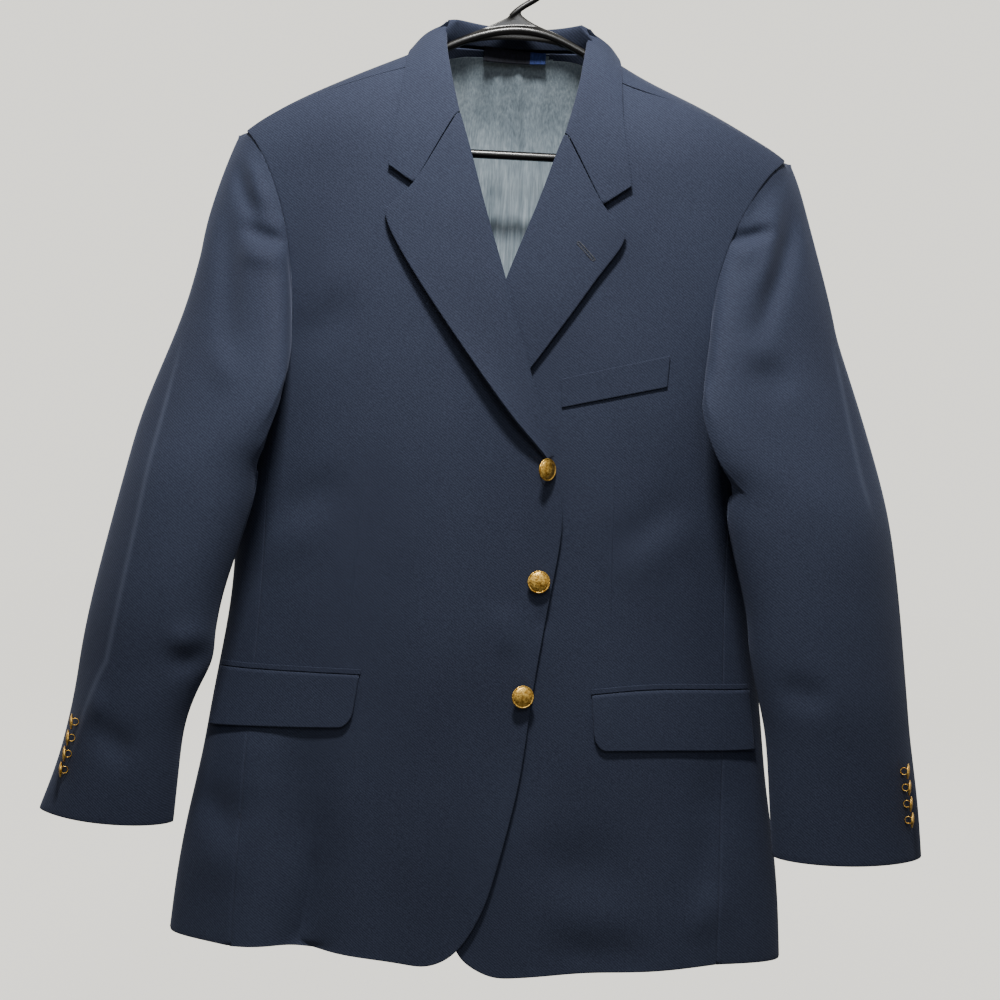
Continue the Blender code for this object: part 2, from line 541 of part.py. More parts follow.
def wrapped(x, drop, side):
    """A point of the back, which passes over the ridge to the front where drop is negative."""
    height = ridge(x) - np.abs(drop)
    y = np.where(drop >= 0, back_y(x, height), front_y(x, height, side))
    return np.stack([x, y, height], axis=-1)


def root(drop):
    """Signed root of the drop from the ridge, which spaces rows evenly round the shoulder."""
    return np.sign(drop) * np.sqrt(np.abs(drop))


def back_panel(side):
    """The back from the neck and the shoulder seam, over the ridge, down to the hem."""
    corner = 0.345
    columns = np.array((0, 0.12, 0.24, 0.31, 0.33, corner, 0.44, 0.56, 0.70, 0.85, 1.0))
    stations = np.interp(columns[:6], (0, 0.12, 0.24, 0.31, corner), (7, 6, 5, 4, neck_corner(side)))
    x, z = neck_curve(side, stations)
    drop = ridge(side * x) - z
    drop = np.where(stations < 4.0, -drop, drop)
    neck_x = x[-1]
    shoulder_x = ARMHOLE_FRONT[side][0][1]
    seam_x = neck_x + (shoulder_x - neck_x) * (columns[6:] - corner) / (1 - corner)
    top_x = np.concatenate([x, seam_x])
    top_drop = np.concatenate([drop, -smooth(SHOULDER_SEAM[side], seam_x)[..., 0]])
    top = np.stack([top_x, root(top_drop)], axis=-1)
    down = np.array((0, 0.03, 0.06, 0.09, 0.12, 0.155, 0.20, 0.25, 0.30, 0.35, 0.40, 0.45, 0.50, 0.55,
                     0.61, 0.67, 0.73, 0.79, 0.85, 0.90, 0.95, 1.0))
    end_x, end_z = HEM_BACK[-1]
    end_root = float(root(ridge(np.array(side * end_x)) - end_z))
    outer_root = top[-1, 1] + (end_root - top[-1, 1]) * down
    fine_z = np.linspace(armhole_back(side)[0][0], end_z, 600)
    fine_x = smooth(side_seam_rows(side, True), -fine_z)[..., 0]
    fine_root = root(np.maximum(ridge(side * fine_x) - fine_z, 0))
    fine_root[0] = top[-1, 1]
    low_seam = int(np.argmin(np.abs(outer_root - np.interp(0.4000, -fine_z, fine_root))))
    outer_root[low_seam] = np.interp(0.4000, -fine_z, fine_root)
    outer_x = np.interp(outer_root, fine_root, fine_x)
    inner_root = top[0, 1] + (float(root(ridge(np.array(0.0)) - HEM_BACK[0][1])) - top[0, 1]) * down
    low_x = end_x * columns
    low = np.stack([low_x, root(ridge(side * low_x) - smooth(HEM_BACK, low_x)[..., 0])], axis=-1)
    inner = np.stack([np.zeros_like(inner_root), inner_root], axis=-1)
    flat = blend(top, low, inner, np.stack([outer_x, outer_root], -1), columns, down)
    drop = np.sign(flat[..., 1]) * flat[..., 1] ** 2
    return wrapped(side * flat[..., 0], drop, side)


def round_side(side, height, angle):
    """A point of the body's section; the angle runs from the front over the side to the back."""
    width, front, back, tip = np.moveaxis(smooth(BODY, height), -1, 0)
    across = np.sin(angle) ** (2 / ROUND_SECTION)
    along = np.cos(angle)
    round_part = np.abs(along) ** (2 / ROUND_SECTION)
    x = side * width * across
    wave = ripple(x, height)
    y = np.where(along >= 0, tip - (front + tip + wave) * round_part, tip + (back - tip) * round_part)
    return np.stack([x, y, height], axis=-1)


def angle_of(x, height):
    width = smooth(BODY, height)[..., 0]
    return np.arcsin(np.clip(x / width, 0, 1) ** (ROUND_SECTION / 2))


def armhole_low(side, share):
    """The armhole below the arm, from the front seam (0) over the side (0.5) to the back seam (1)."""
    front_z, back_z = -0.4200, -0.4000
    first = angle_of(ARMHOLE_FRONT[side][-1][1], np.array(front_z))
    last = math.pi - angle_of(ARMHOLE_BACK[-1][1], np.array(back_z))
    angle = np.interp(share, (0, 0.5, 1), (first, math.pi / 2, last))
    height = smooth(((0.0, front_z), (0.22, -0.4400), (0.5, UNDERARM), (0.78, -0.4320), (1.0, back_z)), share)[..., 0]
    return angle, height


def side_panel(side):
    shares = np.linspace(0, 1, 9)
    angle_top, top_z = armhole_low(side, shares)
    down = np.array((0, 0.03, 0.08, 0.16, 0.25, 0.35, 0.45, 0.55, 0.65, 0.75, 0.84, 0.92, 1.0))
    low_z = smooth(HEM_SIDE[side], shares)[..., 0]
    height = top_z[None] + (low_z - top_z)[None] * down[:, None]
    first = angle_of(smooth(side_seam_rows(side, False), -height[:, 0])[..., 0], height[:, 0])
    last = math.pi - angle_of(smooth(side_seam_rows(side, True), -height[:, -1])[..., 0], height[:, -1])
    split = (angle_top - angle_top[0]) / (angle_top[-1] - angle_top[0])
    angle = first[:, None] + (last - first)[:, None] * split[None]
    return round_side(side, height, angle)


def armhole(side, turn):
    """The whole armhole seam as points, by angle from the shoulder towards the front."""
    def quarter(points, share):
        steps = np.linalg.norm(np.diff(points, axis=0), axis=1)
        along = np.concatenate([[0], np.cumsum(steps)])
        along /= along[-1]
        return np.stack([np.interp(share, along, points[:, k]) for k in range(3)], axis=-1)

    front_z = -0.3450
    back_z = -0.3400
    fine = np.linspace(0, 1, 60)
    rows = side_seam_rows(side, False)
    start = -rows[0][0]
    z = start + (front_z - start) * fine**1.5
    first = on_front(side * smooth(rows, -z)[..., 0], z, side)
    z = front_z + (-0.4200 - front_z) * fine
    part = on_front(side * smooth(rows, -z)[..., 0], z, side)
    angle, low = armhole_low(side, fine / 2)
    second = np.concatenate([part, round_side(side, low, angle)[1:]])
    angle, low = armhole_low(side, 0.5 + fine / 2)
    rows = side_seam_rows(side, True)
    z = -0.4000 + (back_z + 0.4000) * fine
    third = np.concatenate([round_side(side, low, angle), on_back(side * smooth(rows, -z)[..., 0], z)[1:]])
    start = rows[0][0] * -1
    z = back_z + (start - back_z) * (1 - (1 - fine) ** 1.5)
    fourth = on_back(side * smooth(rows, -z)[..., 0], z)
    fourth[-1] = first[0]
    turn = np.mod(np.asarray(turn, float), 360.0)
    found = np.zeros(turn.shape + (3,))
    for k, points in enumerate((first, second, third, fourth)):
        here = (turn >= 90 * k) & (turn < 90 * (k + 1))
        found[here] = quarter(points, (turn[here] - 90 * k) / 90)
    return found


def ring(outer, front, inner, back, turn):
    """A rounded ring through four points."""
    a = np.radians(turn)[..., None]
    centre = (outer + front + inner + back) / 4
    skew = (outer + inner - front - back) / 4
    return centre + np.cos(a) * (outer - inner) / 2 + np.sin(a) * (front - back) / 2 + np.cos(2 * a) * skew


def clear_of_body(points, gap, side):
    """Points beside the body, moved outwards where they are nearer to it than gap."""
    width, front, back, tip = np.moveaxis(smooth(BODY, points[..., 2]), -1, 0)
    x, away = side * points[..., 0], points[..., 1] - tip
    deep = np.where(away < 0, front + tip, back - tip)
    p = ROUND_SECTION
    across, along = np.clip(x / width, 0.01, 2), np.clip(np.abs(away) / deep, 0.001, 2)
    level = across**p + along**p - 1
    slope_x = p * across ** (p - 1) / width
    slope_y = p * along ** (p - 1) / deep * np.sign(away)
    steep = np.hypot(slope_x, slope_y)
    short = gap - level / steep
    part = ease((-0.395 - points[..., 2]) / 0.02) * (short > 0) * np.minimum(short, 0.02) / steep
    return points + np.stack([side * slope_x * part, slope_y * part, np.zeros_like(part)], axis=-1)


def sleeve_ring(side, row, turn):
    """Ring number row of the sleeve: 0 on the armhole, then the cap, then down to the cuff."""
    flip = np.array((side, 1.0, 1.0))
    cap_rows = len(CAP)
    loop = armhole(side, np.array((0.0, 90.0, 180.0, 270.0)))
    if row < cap_rows:
        (out_z, front_step, front_y_, front_z, in_x, in_y, in_z, back_step, back_y_, back_z, kept) = CAP[row]
        out_x, out_y = smooth(SLEEVE_OUT[side], out_z)
        outer = np.array((out_x, out_y, out_z)) * flip
        front = np.array((abs(loop[1, 0]) + front_step, front_y_, front_z)) * flip
        inner = np.array((in_x, in_y, in_z)) * flip
        back = np.array((abs(loop[3, 0]) + back_step, back_y_, back_z)) * flip
        height = out_z
        first = ring(*loop, turn)
        points = ring(outer, front, inner, back, turn) if row else ring(*loop, turn)
        points = points + (armhole(side, turn) - first) * kept
    else:
        height = CUFF_ROWS[side][row - cap_rows]
        out_x, out_y = smooth(SLEEVE_OUT[side], height)
        in_x, in_y, deep = smooth(SLEEVE_IN[side], height)
        middle = (out_x + in_x) / 2, (out_y + in_y) / 2
        last = row == cap_rows + len(CUFF_ROWS[side]) - 1
        outer = np.array((out_x - 0.002 * last, out_y, height + 0.004 * last)) * flip
        inner = np.array((in_x, in_y, height)) * flip
        front = np.array((middle[0], middle[1] - deep, height)) * flip
        back = np.array((middle[0], middle[1] + deep, height)) * flip
        points = ring(outer, front, inner, back, turn)
    if 0 < row < cap_rows:
        aim = np.array(FORE_FOLD[side][row - 1][1:]) * flip
        natural = ring(outer, front, inner, back, np.array(135.0)) + (
            armhole(side, np.array([135.0]))[0] - ring(*loop, np.array(135.0))) * kept
        part = np.where((turn > 90) & (turn < 180), np.sin(np.radians(2 * (turn - 90))) ** 2, 0)
        points = points + part[..., None] * (aim - natural)
    if 0 < row < cap_rows + 2:
        points = clear_of_body(points, (0, 0.0034, 0.0038)[min(row, 2)], side)
    if row <= HIND_CLEAR[-1][0]:
        part = np.where((turn > 180) & (turn < 270), np.sin(np.radians(2 * (turn - 180))) ** 2, 0)
        points = points + part[..., None] * HIND_CLEAR[row][1] * np.array((side * 0.86, -0.5, 0.0))
    crease, stands = smooth(CREASE[side], height)
    away = points - (outer + inner) / 2 if row else np.zeros_like(points)
    away[..., 2] = 0
    away = away / np.maximum(np.linalg.norm(away, axis=-1, keepdims=True), 1e-9)
    apart = np.mod(turn - crease + 180, 360) - 180
    dents = sleeve_dents(side, points)
    return points + away * (stands * hill(apart, 0, 14.0) - dents)[..., None]


def sleeve_point(side, height, turn):
    """A point of the sleeve below the underarm."""
    rows = CUFF_ROWS[side]
    k = int(np.searchsorted(-np.array(rows), -height)) - 1
    share = (height - rows[k]) / (rows[k + 1] - rows[k])
    upper = sleeve_ring(side, len(CAP) + k, np.array([turn]))[0]
    lower = sleeve_ring(side, len(CAP) + k + 1, np.array([turn]))[0]
    return upper + (lower - upper) * share


def sleeve_dents(side, points):
    """Depth of the soft hollows of the cap and of the bend above the cuff."""
    x, y, z = side * points[..., 0], points[..., 1], points[..., 2]
    ahead = ease((-y - 0.005) / 0.03)
    if side < 0:
        hollow = 0.006 * hill(z, -0.262 - 0.15 * (x - 0.225), 0.010) * hill(x, 0.232, 0.022)
        fold = 0.003 * hill(x, 0.2445 - 0.15 * (z + 0.24), 0.007) * hill(z, -0.235, 0.035)
        return ahead * (hollow + fold + 0.004 * hill(z, -0.668, 0.014) * hill(x, 0.272, 0.02))
    hollow = 0.004 * hill(z, -0.262, 0.009) * hill(x, 0.215, 0.018)
    fold = 0.004 * hill(x, 0.232 + 0.25 * (z + 0.30), 0.011) * hill(z, -0.285, 0.065)
    return ahead * (hollow + fold)


def body_normal(side, turn):
    """Which way the body faces at the armhole seam."""
    points = armhole(side, turn)
    x, z = points[..., 0], points[..., 2]
    angle = np.clip(angle_of(np.abs(x), z), 0.02, math.pi / 2 - 0.02)
    behind = points[..., 1] > 0.0135
    angle = np.where(behind, math.pi - angle, angle)
    low = z < -0.40
    a, b = round_side(side, z, angle - 0.01), round_side(side, z, angle + 0.01)
    c, d = round_side(side, z - 0.002, angle), round_side(side, z + 0.002, angle)
    round_way = np.cross(b - a, d - c)
    round_way *= np.sign(round_way[..., :1] * side)
    step = 0.0015
    inside = x - side * 0.004
    dip = np.minimum(z, ridge(inside) - 0.002)
    ahead = [on_front(inside + u, dip + v, side) for u, v in ((-step, 0), (step, 0), (0, -step), (0, step))]
    after = [on_back(inside + u, dip + v) for u, v in ((-step, 0), (step, 0), (0, -step), (0, step))]
    front_way = np.cross(ahead[1] - ahead[0], ahead[3] - ahead[2])
    back_way = np.cross(after[1] - after[0], after[3] - after[2])
    front_way *= -np.sign(front_way[..., 1:2])
    back_way *= np.sign(back_way[..., 1:2])
    found = np.where(behind[..., None], back_way, front_way)
    found = np.where(low[..., None], round_way, found)
    return found / np.linalg.norm(found, axis=-1, keepdims=True)


def sleeve_half(side, top):
    """One of the sleeve's two pieces with the normals of the whole sleeve, alike at its seams."""
    rows, ways = [], []
    count = len(CAP) + len(CUFF_ROWS[side])
    shares = np.linspace(0, 1, 17 if top else 12)
    for row in range(count):
        height = CAP[row][0] if row < len(CAP) else CUFF_ROWS[side][row - len(CAP)]
        hind, fore = smooth(SLEEVE_SEAMS, height)
        turn = hind + (fore - hind) * shares if top else fore + (360 + hind - fore) * shares
        rows.append(sleeve_ring(side, row, turn))
        ways.append(sleeve_ring(side, row, turn + 4) - sleeve_ring(side, row, turn - 4))
    hind, fore = smooth(SLEEVE_SEAMS, CAP[0][0])
    turn = hind + (fore - hind) * shares if top else fore + (360 + hind - fore) * shares
    grid = np.array(rows)
    out = np.cross(np.gradient(grid, axis=0), np.array(ways))
    out = -side * out / np.linalg.norm(out, axis=-1, keepdims=True)
    joint = out[0] + body_normal(side, turn)
    out[0] = joint / np.linalg.norm(joint, axis=-1, keepdims=True)
    return grid, out


def pushed_off(grid, side, amount):
    """The sleeve's first row moved off the armhole seam, along the sleeve."""
    moved = grid.copy()
    step = grid[1] - grid[0]
    step = step / np.linalg.norm(step, axis=-1, keepdims=True)
    away = np.array((side, 0.0, 0.0))
    step = step + 0.8 * away
    step = amount * step / np.linalg.norm(step, axis=-1, keepdims=True)
    step = step * (0.5 + 0.5 * ease((-0.20 - grid[0][:, 2:]) / 0.10))
    low = ease((-0.395 - grid[0][:, 2:]) / 0.03)
    moved[0] = grid[0] + (1 - low) * step + low * np.array((side * 0.0030, 0.0, 0.0030))
    return moved


def build_body(side, word):
    front = inset(front_panel(side), start=2 * SEAM_GAP, right=1.3 * SEAM_GAP)
    wall("front_" + word, front, WOOL, (0, -1, 0), NAVY)
    back = inset(back_panel(side), start=1.5 * SEAM_GAP, left=SEAM_GAP / 2, right=1.5 * SEAM_GAP)
    wall("back_" + word, back, WOOL, (0, 1, 0), NAVY)
    panel = inset(side_panel(side), start=8 * SEAM_GAP, left=1.2 * SEAM_GAP, right=2.6 * SEAM_GAP)
    wall("side_" + word, panel, WOOL, (side, 0, 0), NAVY)
    halves = ((True, "sleeve_top_", (side * 0.5, -1, 0)), (False, "sleeve_under_", (-side * 0.4, 1, 0)))
    for top, kind, facing in halves:
        grid, out = sleeve_half(side, top)
        grid = inset(grid, left=1.7 * SEAM_GAP, right=1.7 * SEAM_GAP)
        grid = pushed_off(grid, side, 0.0016)
        wall(kind + word, grid, WOOL, facing, NAVY, out)


def collar_rows(side, stations):
    table = NECK[side]
    found = []
    for k in stations:
        fold_x, step_y, fold_z, edge_x, edge_z = smooth([(r[0],) + r[4:] for r in table], k)
        seam_x, seam_z = neck_curve(side, k)
        near = ease((4 - k) / 1.0)
        seam_f = on_front(side * seam_x, min(seam_z, float(ridge(np.array(side * seam_x)))), side)
        seam_b = on_back(side * seam_x, min(seam_z, float(ridge(np.array(side * seam_x)))))
        seam = seam_f if k <= 4 else seam_b
        fold = np.array((side * fold_x, seam[1] + step_y, fold_z))
        low_edge = min(edge_z, float(ridge(np.array(side * edge_x))) + 0.0035)
        edge = on_front(side * edge_x, low_edge, side) if k <= 4 else on_back(side * edge_x, low_edge)
        stand = 0.0052 * (-1 if k <= 4 else 1) * min(1.0, abs(k - 4) / 0.8)
        edge = edge + np.array((0, stand, 0))
        found.append((seam, fold, edge, near))
    return found


COLLAR_SHARES = (0.25, 0.50, 0.74, 1.0)


def held_off(point, side, gap):
    """The point, moved out where it is nearer than gap to the body below it."""
    drop = np.linspace(-0.14, 0.10, 241)
    section = wrapped(np.full_like(drop, point[0]), drop, side)[:, 1:]
    away = point[1:] - section
    near = int(np.argmin(np.linalg.norm(away, axis=1)))
    near = min(max(near, 1), len(drop) - 2)
    way = section[near + 1] - section[near - 1]
    out = np.array((-way[1], way[0])) / np.linalg.norm(way)
    if float(out @ np.array((0.0, 1.0))) < 0:
        out = -out
    if abs(out[1]) < 0.05:
        out = np.array((-1.0, 0.0)) if drop[near] < 0 else np.array((1.0, 0.0))
    short = gap - float(out @ away[near])
    if short <= 0:
        return point
    return point + np.array((0.0, *(out * short)))


def collar_grid():
    """Stand and leaf in one sheet, from the gorge on the wearer's right round the neck to the left."""
    stations = (0, 0.25, 0.6, 1.0, 1.6, 2.2, 2.8, 3.3, 3.7, 4.1, 4.5, 5.0, 5.6, 6.3, 7.0)
    grid = []
    for side in (-1, 1):
        part = []
        for k, (seam, fold, edge, near) in zip(stations, collar_rows(side, stations)):
            out = edge - fold
            out_way = out / np.linalg.norm(out)
            radius = LAPEL_ROLL / 2
            # The turn lies across the fold, from the seam's layer to the leaf's.
            across = np.array((0.0, -1.0, 0.0)) * near + (1 - near) * np.array((0.0, 1.0, 0.35))
            if 3.0 < k < 5.2:
                t = float(ease((k - 3.0) / 2.2))
                across = (1 - t) * np.array((0, -1.0, 0)) + t * np.array((0, 1.0, 0.35))
                across = across + np.array((side * 1.2 * math.sin(math.pi * t), 0, 0.3 * math.sin(math.pi * t)))
            back_way = (seam - fold) / np.linalg.norm(seam - fold)
            across = across - 0.5 * (np.dot(across, out_way) * out_way + np.dot(across, back_way) * back_way)
            across = across / np.linalg.norm(across)
            middle = out_way + back_way
            middle = middle - np.dot(middle, across) * across
            middle = middle / np.linalg.norm(middle)
            centre = fold + middle * radius
            below = centre - across * radius
            lead = (below - seam) / np.linalg.norm(below - seam)
            raised = 0.0016 + 0.0005 * float(ease((k - 1.6) / 0.8))
            points = [seam + lead * raised + np.array((0.0, -0.0003, 0.0))]
            if k > 1.6:
                points[0] = held_off(points[0], side, 0.0024 + 0.0010 * float(hill(k, 3.6, 1.0)))
            points.append(held_off(seam + (below - seam) * 0.5, side, 0.0026))
            for angle in (-90, -30, 30, 90):
                a = math.radians(angle)
                points.append(centre + across * radius * math.sin(a) - middle * radius * math.cos(a))
            start = points[-1]
            for share in COLLAR_SHARES:
                point = start + (edge - start) * share
                lift = 0.0035 * math.sin(math.pi * share) * float(ease((k - 1) / 3))
                point = point + across * lift
                if k < 1.0:
                    corner = on_front(NOTCH[side][0], NOTCH[side][1] + 0.0004, side) + np.array((0, -0.0052, 0))
                    if share <= 0.74:
                        target = start + (corner - start) * share / 0.74
                    else:
                        target = corner + (edge - corner) * (share - 0.74) / 0.26
                    point = point + (target - point) * (1 - k) ** 1.6
                if k <= 2.6:
                    sheet_y = float(front_y(np.array(point[0]), np.array(point[2]), side))
                    point[1] = min(point[1], sheet_y - 0.0050)
                points.append(held_off(point, side, 0.0042))
            part.append(points)
        grid.append(np.array(part))
    return np.concatenate([grid[0], grid[1][::-1][1:]])


def lapel_grid(side):
    """The facing turned back over the front, from the gorge down to the break."""
    shares = LAPEL_ROWS
    roll_z = lapel_rows(side)
    roll_x = smooth([(-z, x) for z, x in ROLL[side]], -roll_z)[..., 0]
    edge_rows = [(-z, x) for z, x in LAPEL_EDGE[side]]
    edge_z = LAPEL_EDGE[side][0][0] + (LAPEL_EDGE[side][-1][0] - LAPEL_EDGE[side][0][0]) * shares
    edge_x = smooth(edge_rows, -edge_z)[..., 0]
    stand = smooth(LAPEL_STAND[side], shares)[..., 0]
    across = np.array((0.22, 0.46, 0.70, 0.86, 1.0))
    grid = []
    for i in range(len(shares)):
        fold = np.array((roll_x[i], roll_z[i]))
        edge = np.array((edge_x[i], edge_z[i]))
        way = (edge - fold) / np.linalg.norm(edge - fold)
        small = 1 - 0.45 * float(ease((shares[i] - 0.80) / 0.20))
        height = LAPEL_ROLL * small
        radius = height / 2
        level = np.array((float(side), 0.0))
        points = []
        for reach, off in ((0.0040, 0.0), (radius * 0.75, 0.05 * height), (0.0, radius * 0.7), (0.0, radius * 1.3),
                           (radius * 0.75, 0.95 * height)):
            flat = fold + level * reach
            point = on_front(flat[0], flat[1], side)
            point[1] -= off
            points.append(point)
        begin = fold + level * radius * 0.75
        for share in across:
            flat = begin + (edge - begin) * share
            notch = np.array(NOTCH[side]) + np.array((0.0, -0.0008))
            if share <= 0.70:
                target = begin + (notch - begin) * share / 0.70
            else:
                target = notch + (edge - notch) * (share - 0.70) / 0.30
            flat = flat + (target - flat) * float(np.clip(1 - shares[i] / 0.25, 0, 1)) ** 2.2
            point = on_front(flat[0], flat[1], side)
            point[1] -= height + stand[i] * share**2 + 0.0010 * math.sin(math.pi * share) * small
            points.append(point)
        grid.append(points)
    return np.array(grid)


def flap_grid(side):
    low_row = np.array((0, 0.25, 0.55, 0.80, 0.93, 1.0))
    columns = np.array((0, 0.03, 0.08, 0.2, 0.34, 0.48, 0.62, 0.76, 0.88, 0.94, 1.0))
    top_z = FLAP_TOP[side][0][1]
    grid = []
    for s in low_row:
        line = []
        start_x = FLAP_FRONT[side][0] + (FLAP_FRONT[side][1] - FLAP_FRONT[side][0]) * s
        corner = 0.008 * float(np.clip((s - 0.80) / 0.20, 0, 1)) ** 2
        z_guess = top_z - 0.048 * s
        width = float(smooth(BODY, np.array(z_guess))[0])
        first = float(angle_of(np.array(start_x + corner), np.array(z_guess)))
        last = float(angle_of(np.array(width * FLAP_REAR[side]), np.array(z_guess)))
        for f in columns:
            angle = first + (last - first) * f
            x = width * math.sin(angle) ** (2 / ROUND_SECTION)
            upper = float(smooth(FLAP_TOP[side], np.array(x))[0]) - 0.0003
            lower = float(smooth(FLAP_LOW[side], np.array(x))[0])
            z = upper + (lower - upper) * s
            line.append(round_side(side, np.array(z), np.array(angle)))
        grid.append(line)
    grid = np.array(grid)
    off = WOOL / 2 + 0.0003 + 0.0010
    rise = off + 0.0012 * low_row[:, None, None]
    lap = grid_lift(grid, side)
    return grid + faced(grid, (0, -1, 0)) * rise + lap


def grid_lift(grid, side):
    """What the lap adds to a front, for pieces that are laid on it."""
    lift = np.zeros_like(grid)
    x, z = grid[..., 0], grid[..., 2]
    lift[..., 1] = side * smooth(LAP, z)[..., 0] * ease((0.10 + side * -x) / 0.09)
    return lift


def jet_grid(side):
    rows = np.array((0.0, 0.5, 1.0))
    columns = np.linspace(0, 1, 10)
    grid = []
    for s in rows:
        line = []
        z_mean = FLAP_TOP[side][0][1]
        width = float(smooth(BODY, np.array(z_mean))[0])
        first = float(angle_of(np.array(FLAP_FRONT[side][0] - 0.001), np.array(z_mean)))
        last = float(angle_of(np.array(width * (FLAP_REAR[side] + 0.004)), np.array(z_mean)))
        for f in columns:
            angle = first + (last - first) * f
            x = width * math.sin(angle) ** (2 / ROUND_SECTION)
            upper = float(smooth(FLAP_TOP[side], np.array(x))[0])
            line.append(round_side(side, np.array(upper + 0.0050 - 0.0046 * s), np.array(angle)))
        grid.append(line)
    grid = np.array(grid)
    return grid + faced(grid, (0, -1, 0)) * (WOOL / 2 + 0.0003 + 0.0006) + grid_lift(grid, side)


def welt_grid():
    corners = np.array(WELT)
    grid = []
    for s in np.linspace(0, 1, 4):
        left = corners[0] + (corners[3] - corners[0]) * s
        right = corners[1] + (corners[2] - corners[1]) * s
        flat = left + (right - left) * np.linspace(0, 1, 9)[:, None]
        grid.append(on_front(flat[:, 0], flat[:, 1], 1))
    grid = np.array(grid)
    rise = np.array((1.6, 1.3, 1.2, 1.1))[:, None, None] * 0.001 + 0.0009
    return grid + faced(grid, (0, -1, 0)) * rise


def lining_grid():
    """The back lining with its centre pleat."""
    down = np.array((0, 0.02, 0.05, 0.09, 0.15, 0.22, 0.30, 0.40, 0.54, 0.70, 0.86, 1.0))
    shares = np.array((-1, -0.75, -0.5, -0.3, -0.16, -0.06, -0.018, 0.02, 0.10, 0.22, 0.42, 0.68, 1.0))
    half = smooth(((0, 0.078), (0.05, 0.125), (0.12, 0.172), (0.25, 0.185), (0.6, 0.182), (1, 0.188)), down)[..., 0]
    x = half[:, None] * shares[None]
    top = -0.0985 - 0.10 * np.abs(x) ** 1.3
    z = top + (-0.885 - top) * down[:, None]
    z = np.minimum(z, ridge(x) - 0.012)
    base = on_back(x, z)
    out = faced(base, (0, -1, 0))
    pleat = 0.0045 * hill(x, -0.003, 0.006) * (0.35 + 0.65 * ease(down[:, None] / 0.1))
    soft = 0.0016 * np.sin(x / 0.0115 + 1.2 * np.sin(z / 0.09)) * ease(down[:, None] / 0.15)
    return base + out * (0.0052 + pleat + soft)[..., None]


def label_grid():
    left, right, upper, lower = LABEL
    grid = []
    for s in np.linspace(0, 1, 4):
        line = []
        for f in np.linspace(0, 1, 10):
            x = left + (right - left) * f
            z = upper + (lower - upper) * s - 0.0035 * f * (1 - s)
            seam = float(on_back(np.array(x), np.array(-0.0950))[1])
            y = seam - 0.0050 * (z + 0.0950) / 0.019 - LAPEL_WOOL / 2 - 0.0015 - 0.0055 * s
            line.append((x, y, z))
        grid.append(line)
    return np.array(grid)


def turned_piece(name, profile, centre, axis, finish, sides=24):
    """A closed solid turned about an axis: profile holds distance along the axis and radius."""
    axis = np.array(axis, float)
    axis = axis / np.linalg.norm(axis)
    helper = np.array((0.0, 0.0, 1.0)) if abs(axis[2]) < 0.9 else np.array((1.0, 0.0, 0.0))
    u = np.cross(helper, axis)
    u = u / np.linalg.norm(u)
    v = np.cross(axis, u)
    points = [np.array(centre) + axis * profile[0][0]]
    rings = profile[1:-1]
    for along, radius in rings:
        for k in range(sides):
            a = 2 * math.pi * k / sides
            points.append(np.array(centre) + axis * along + radius * (math.cos(a) * u + math.sin(a) * v))
    points.append(np.array(centre) + axis * profile[-1][0])
    faces = [(0, 1 + (k + 1) % sides, 1 + k) for k in range(sides)]
    for r in range(len(rings) - 1):
        for k in range(sides):
            a, b = 1 + r * sides + k, 1 + r * sides + (k + 1) % sides
            faces.append((a, b, b + sides, a + sides))
    last = 1 + (len(rings) - 1) * sides
    faces += [(len(points) - 1, last + k, last + (k + 1) % sides) for k in range(sides)]
    return add(name, points, faces, finish)


def button(name, place, axis, width, sides, shank):
    """A domed metal button on its shank; place is on the cloth's outer face."""
    r = width / 2
    profile = (
        (0.0, 0.0), (0.0, 0.17 * r), (shank, 0.17 * r), (shank + 0.06 * r, 0.94 * r), (shank + 0.16 * r, r),
        (shank + 0.27 * r, 0.90 * r), (shank + 0.40 * r, 0.45 * r), (shank + 0.43 * r, 0.0),
    )
    return turned_piece(name, profile, place, axis, GOLD, sides)


def sweep(name, path, half_wide, half_deep, closed, finish, corners=8):
    """A bar of rounded section along a path that lies in the XZ plane."""
    path = np.array(path, float)
    count = len(path)
    points, faces = [], []
    for i in range(count):
        before = path[(i - 1) % count] if closed else path[max(i - 1, 0)]
        after = path[(i + 1) % count] if closed else path[min(i + 1, count - 1)]
        way = after - before
        way = way / np.linalg.norm(way)
        side_way = np.array((way[1], -way[0]))
        for k in range(corners):
            a = 2 * math.pi * (k + 0.5) / corners
            flat = path[i] + side_way * half_wide * 1.05 * math.cos(a)
            points.append((flat[0], half_deep * 1.05 * math.sin(a), flat[1]))
    last = count if closed else count - 1
    for i in range(last):
        for k in range(corners):
            a, b = i * corners + k, i * corners + (k + 1) % corners
            c, d = ((i + 1) % count) * corners + k, ((i + 1) % count) * corners + (k + 1) % corners
            faces.append((a, b, d, c))
    if not closed:
        faces.append(tuple(reversed(range(corners))))
        faces.append(tuple((count - 1) * corners + k for k in range(corners)))
    thing = add(name, points, faces, finish)
    signed = 0.0
    thing.data.calc_loop_triangles()
    for triangle in thing.data.loop_triangles:
        a, b, c = (thing.data.vertices[v].co for v in triangle.vertices)
        signed += a.dot(b.cross(c))
    if signed < 0:
        thing.data.flip_normals()
    return thing


def hanger_arm(x):
    """Centre line of the arms: straight at the apex, then close under the shoulders."""
    free = -0.0640 - 0.52 * abs(x + 0.006)
    under = float(ridge(np.array(x))) - WOOL / 2 - SEAM_GAP - ARM_HALF * 1.12 - 0.0008
    dip = 0.0034 * math.exp(-(((x - 0.068) / 0.012) ** 2)) + 0.0024 * math.exp(-(((x + 0.084) / 0.016) ** 2))
    return min(free, under - 0.0006) - dip


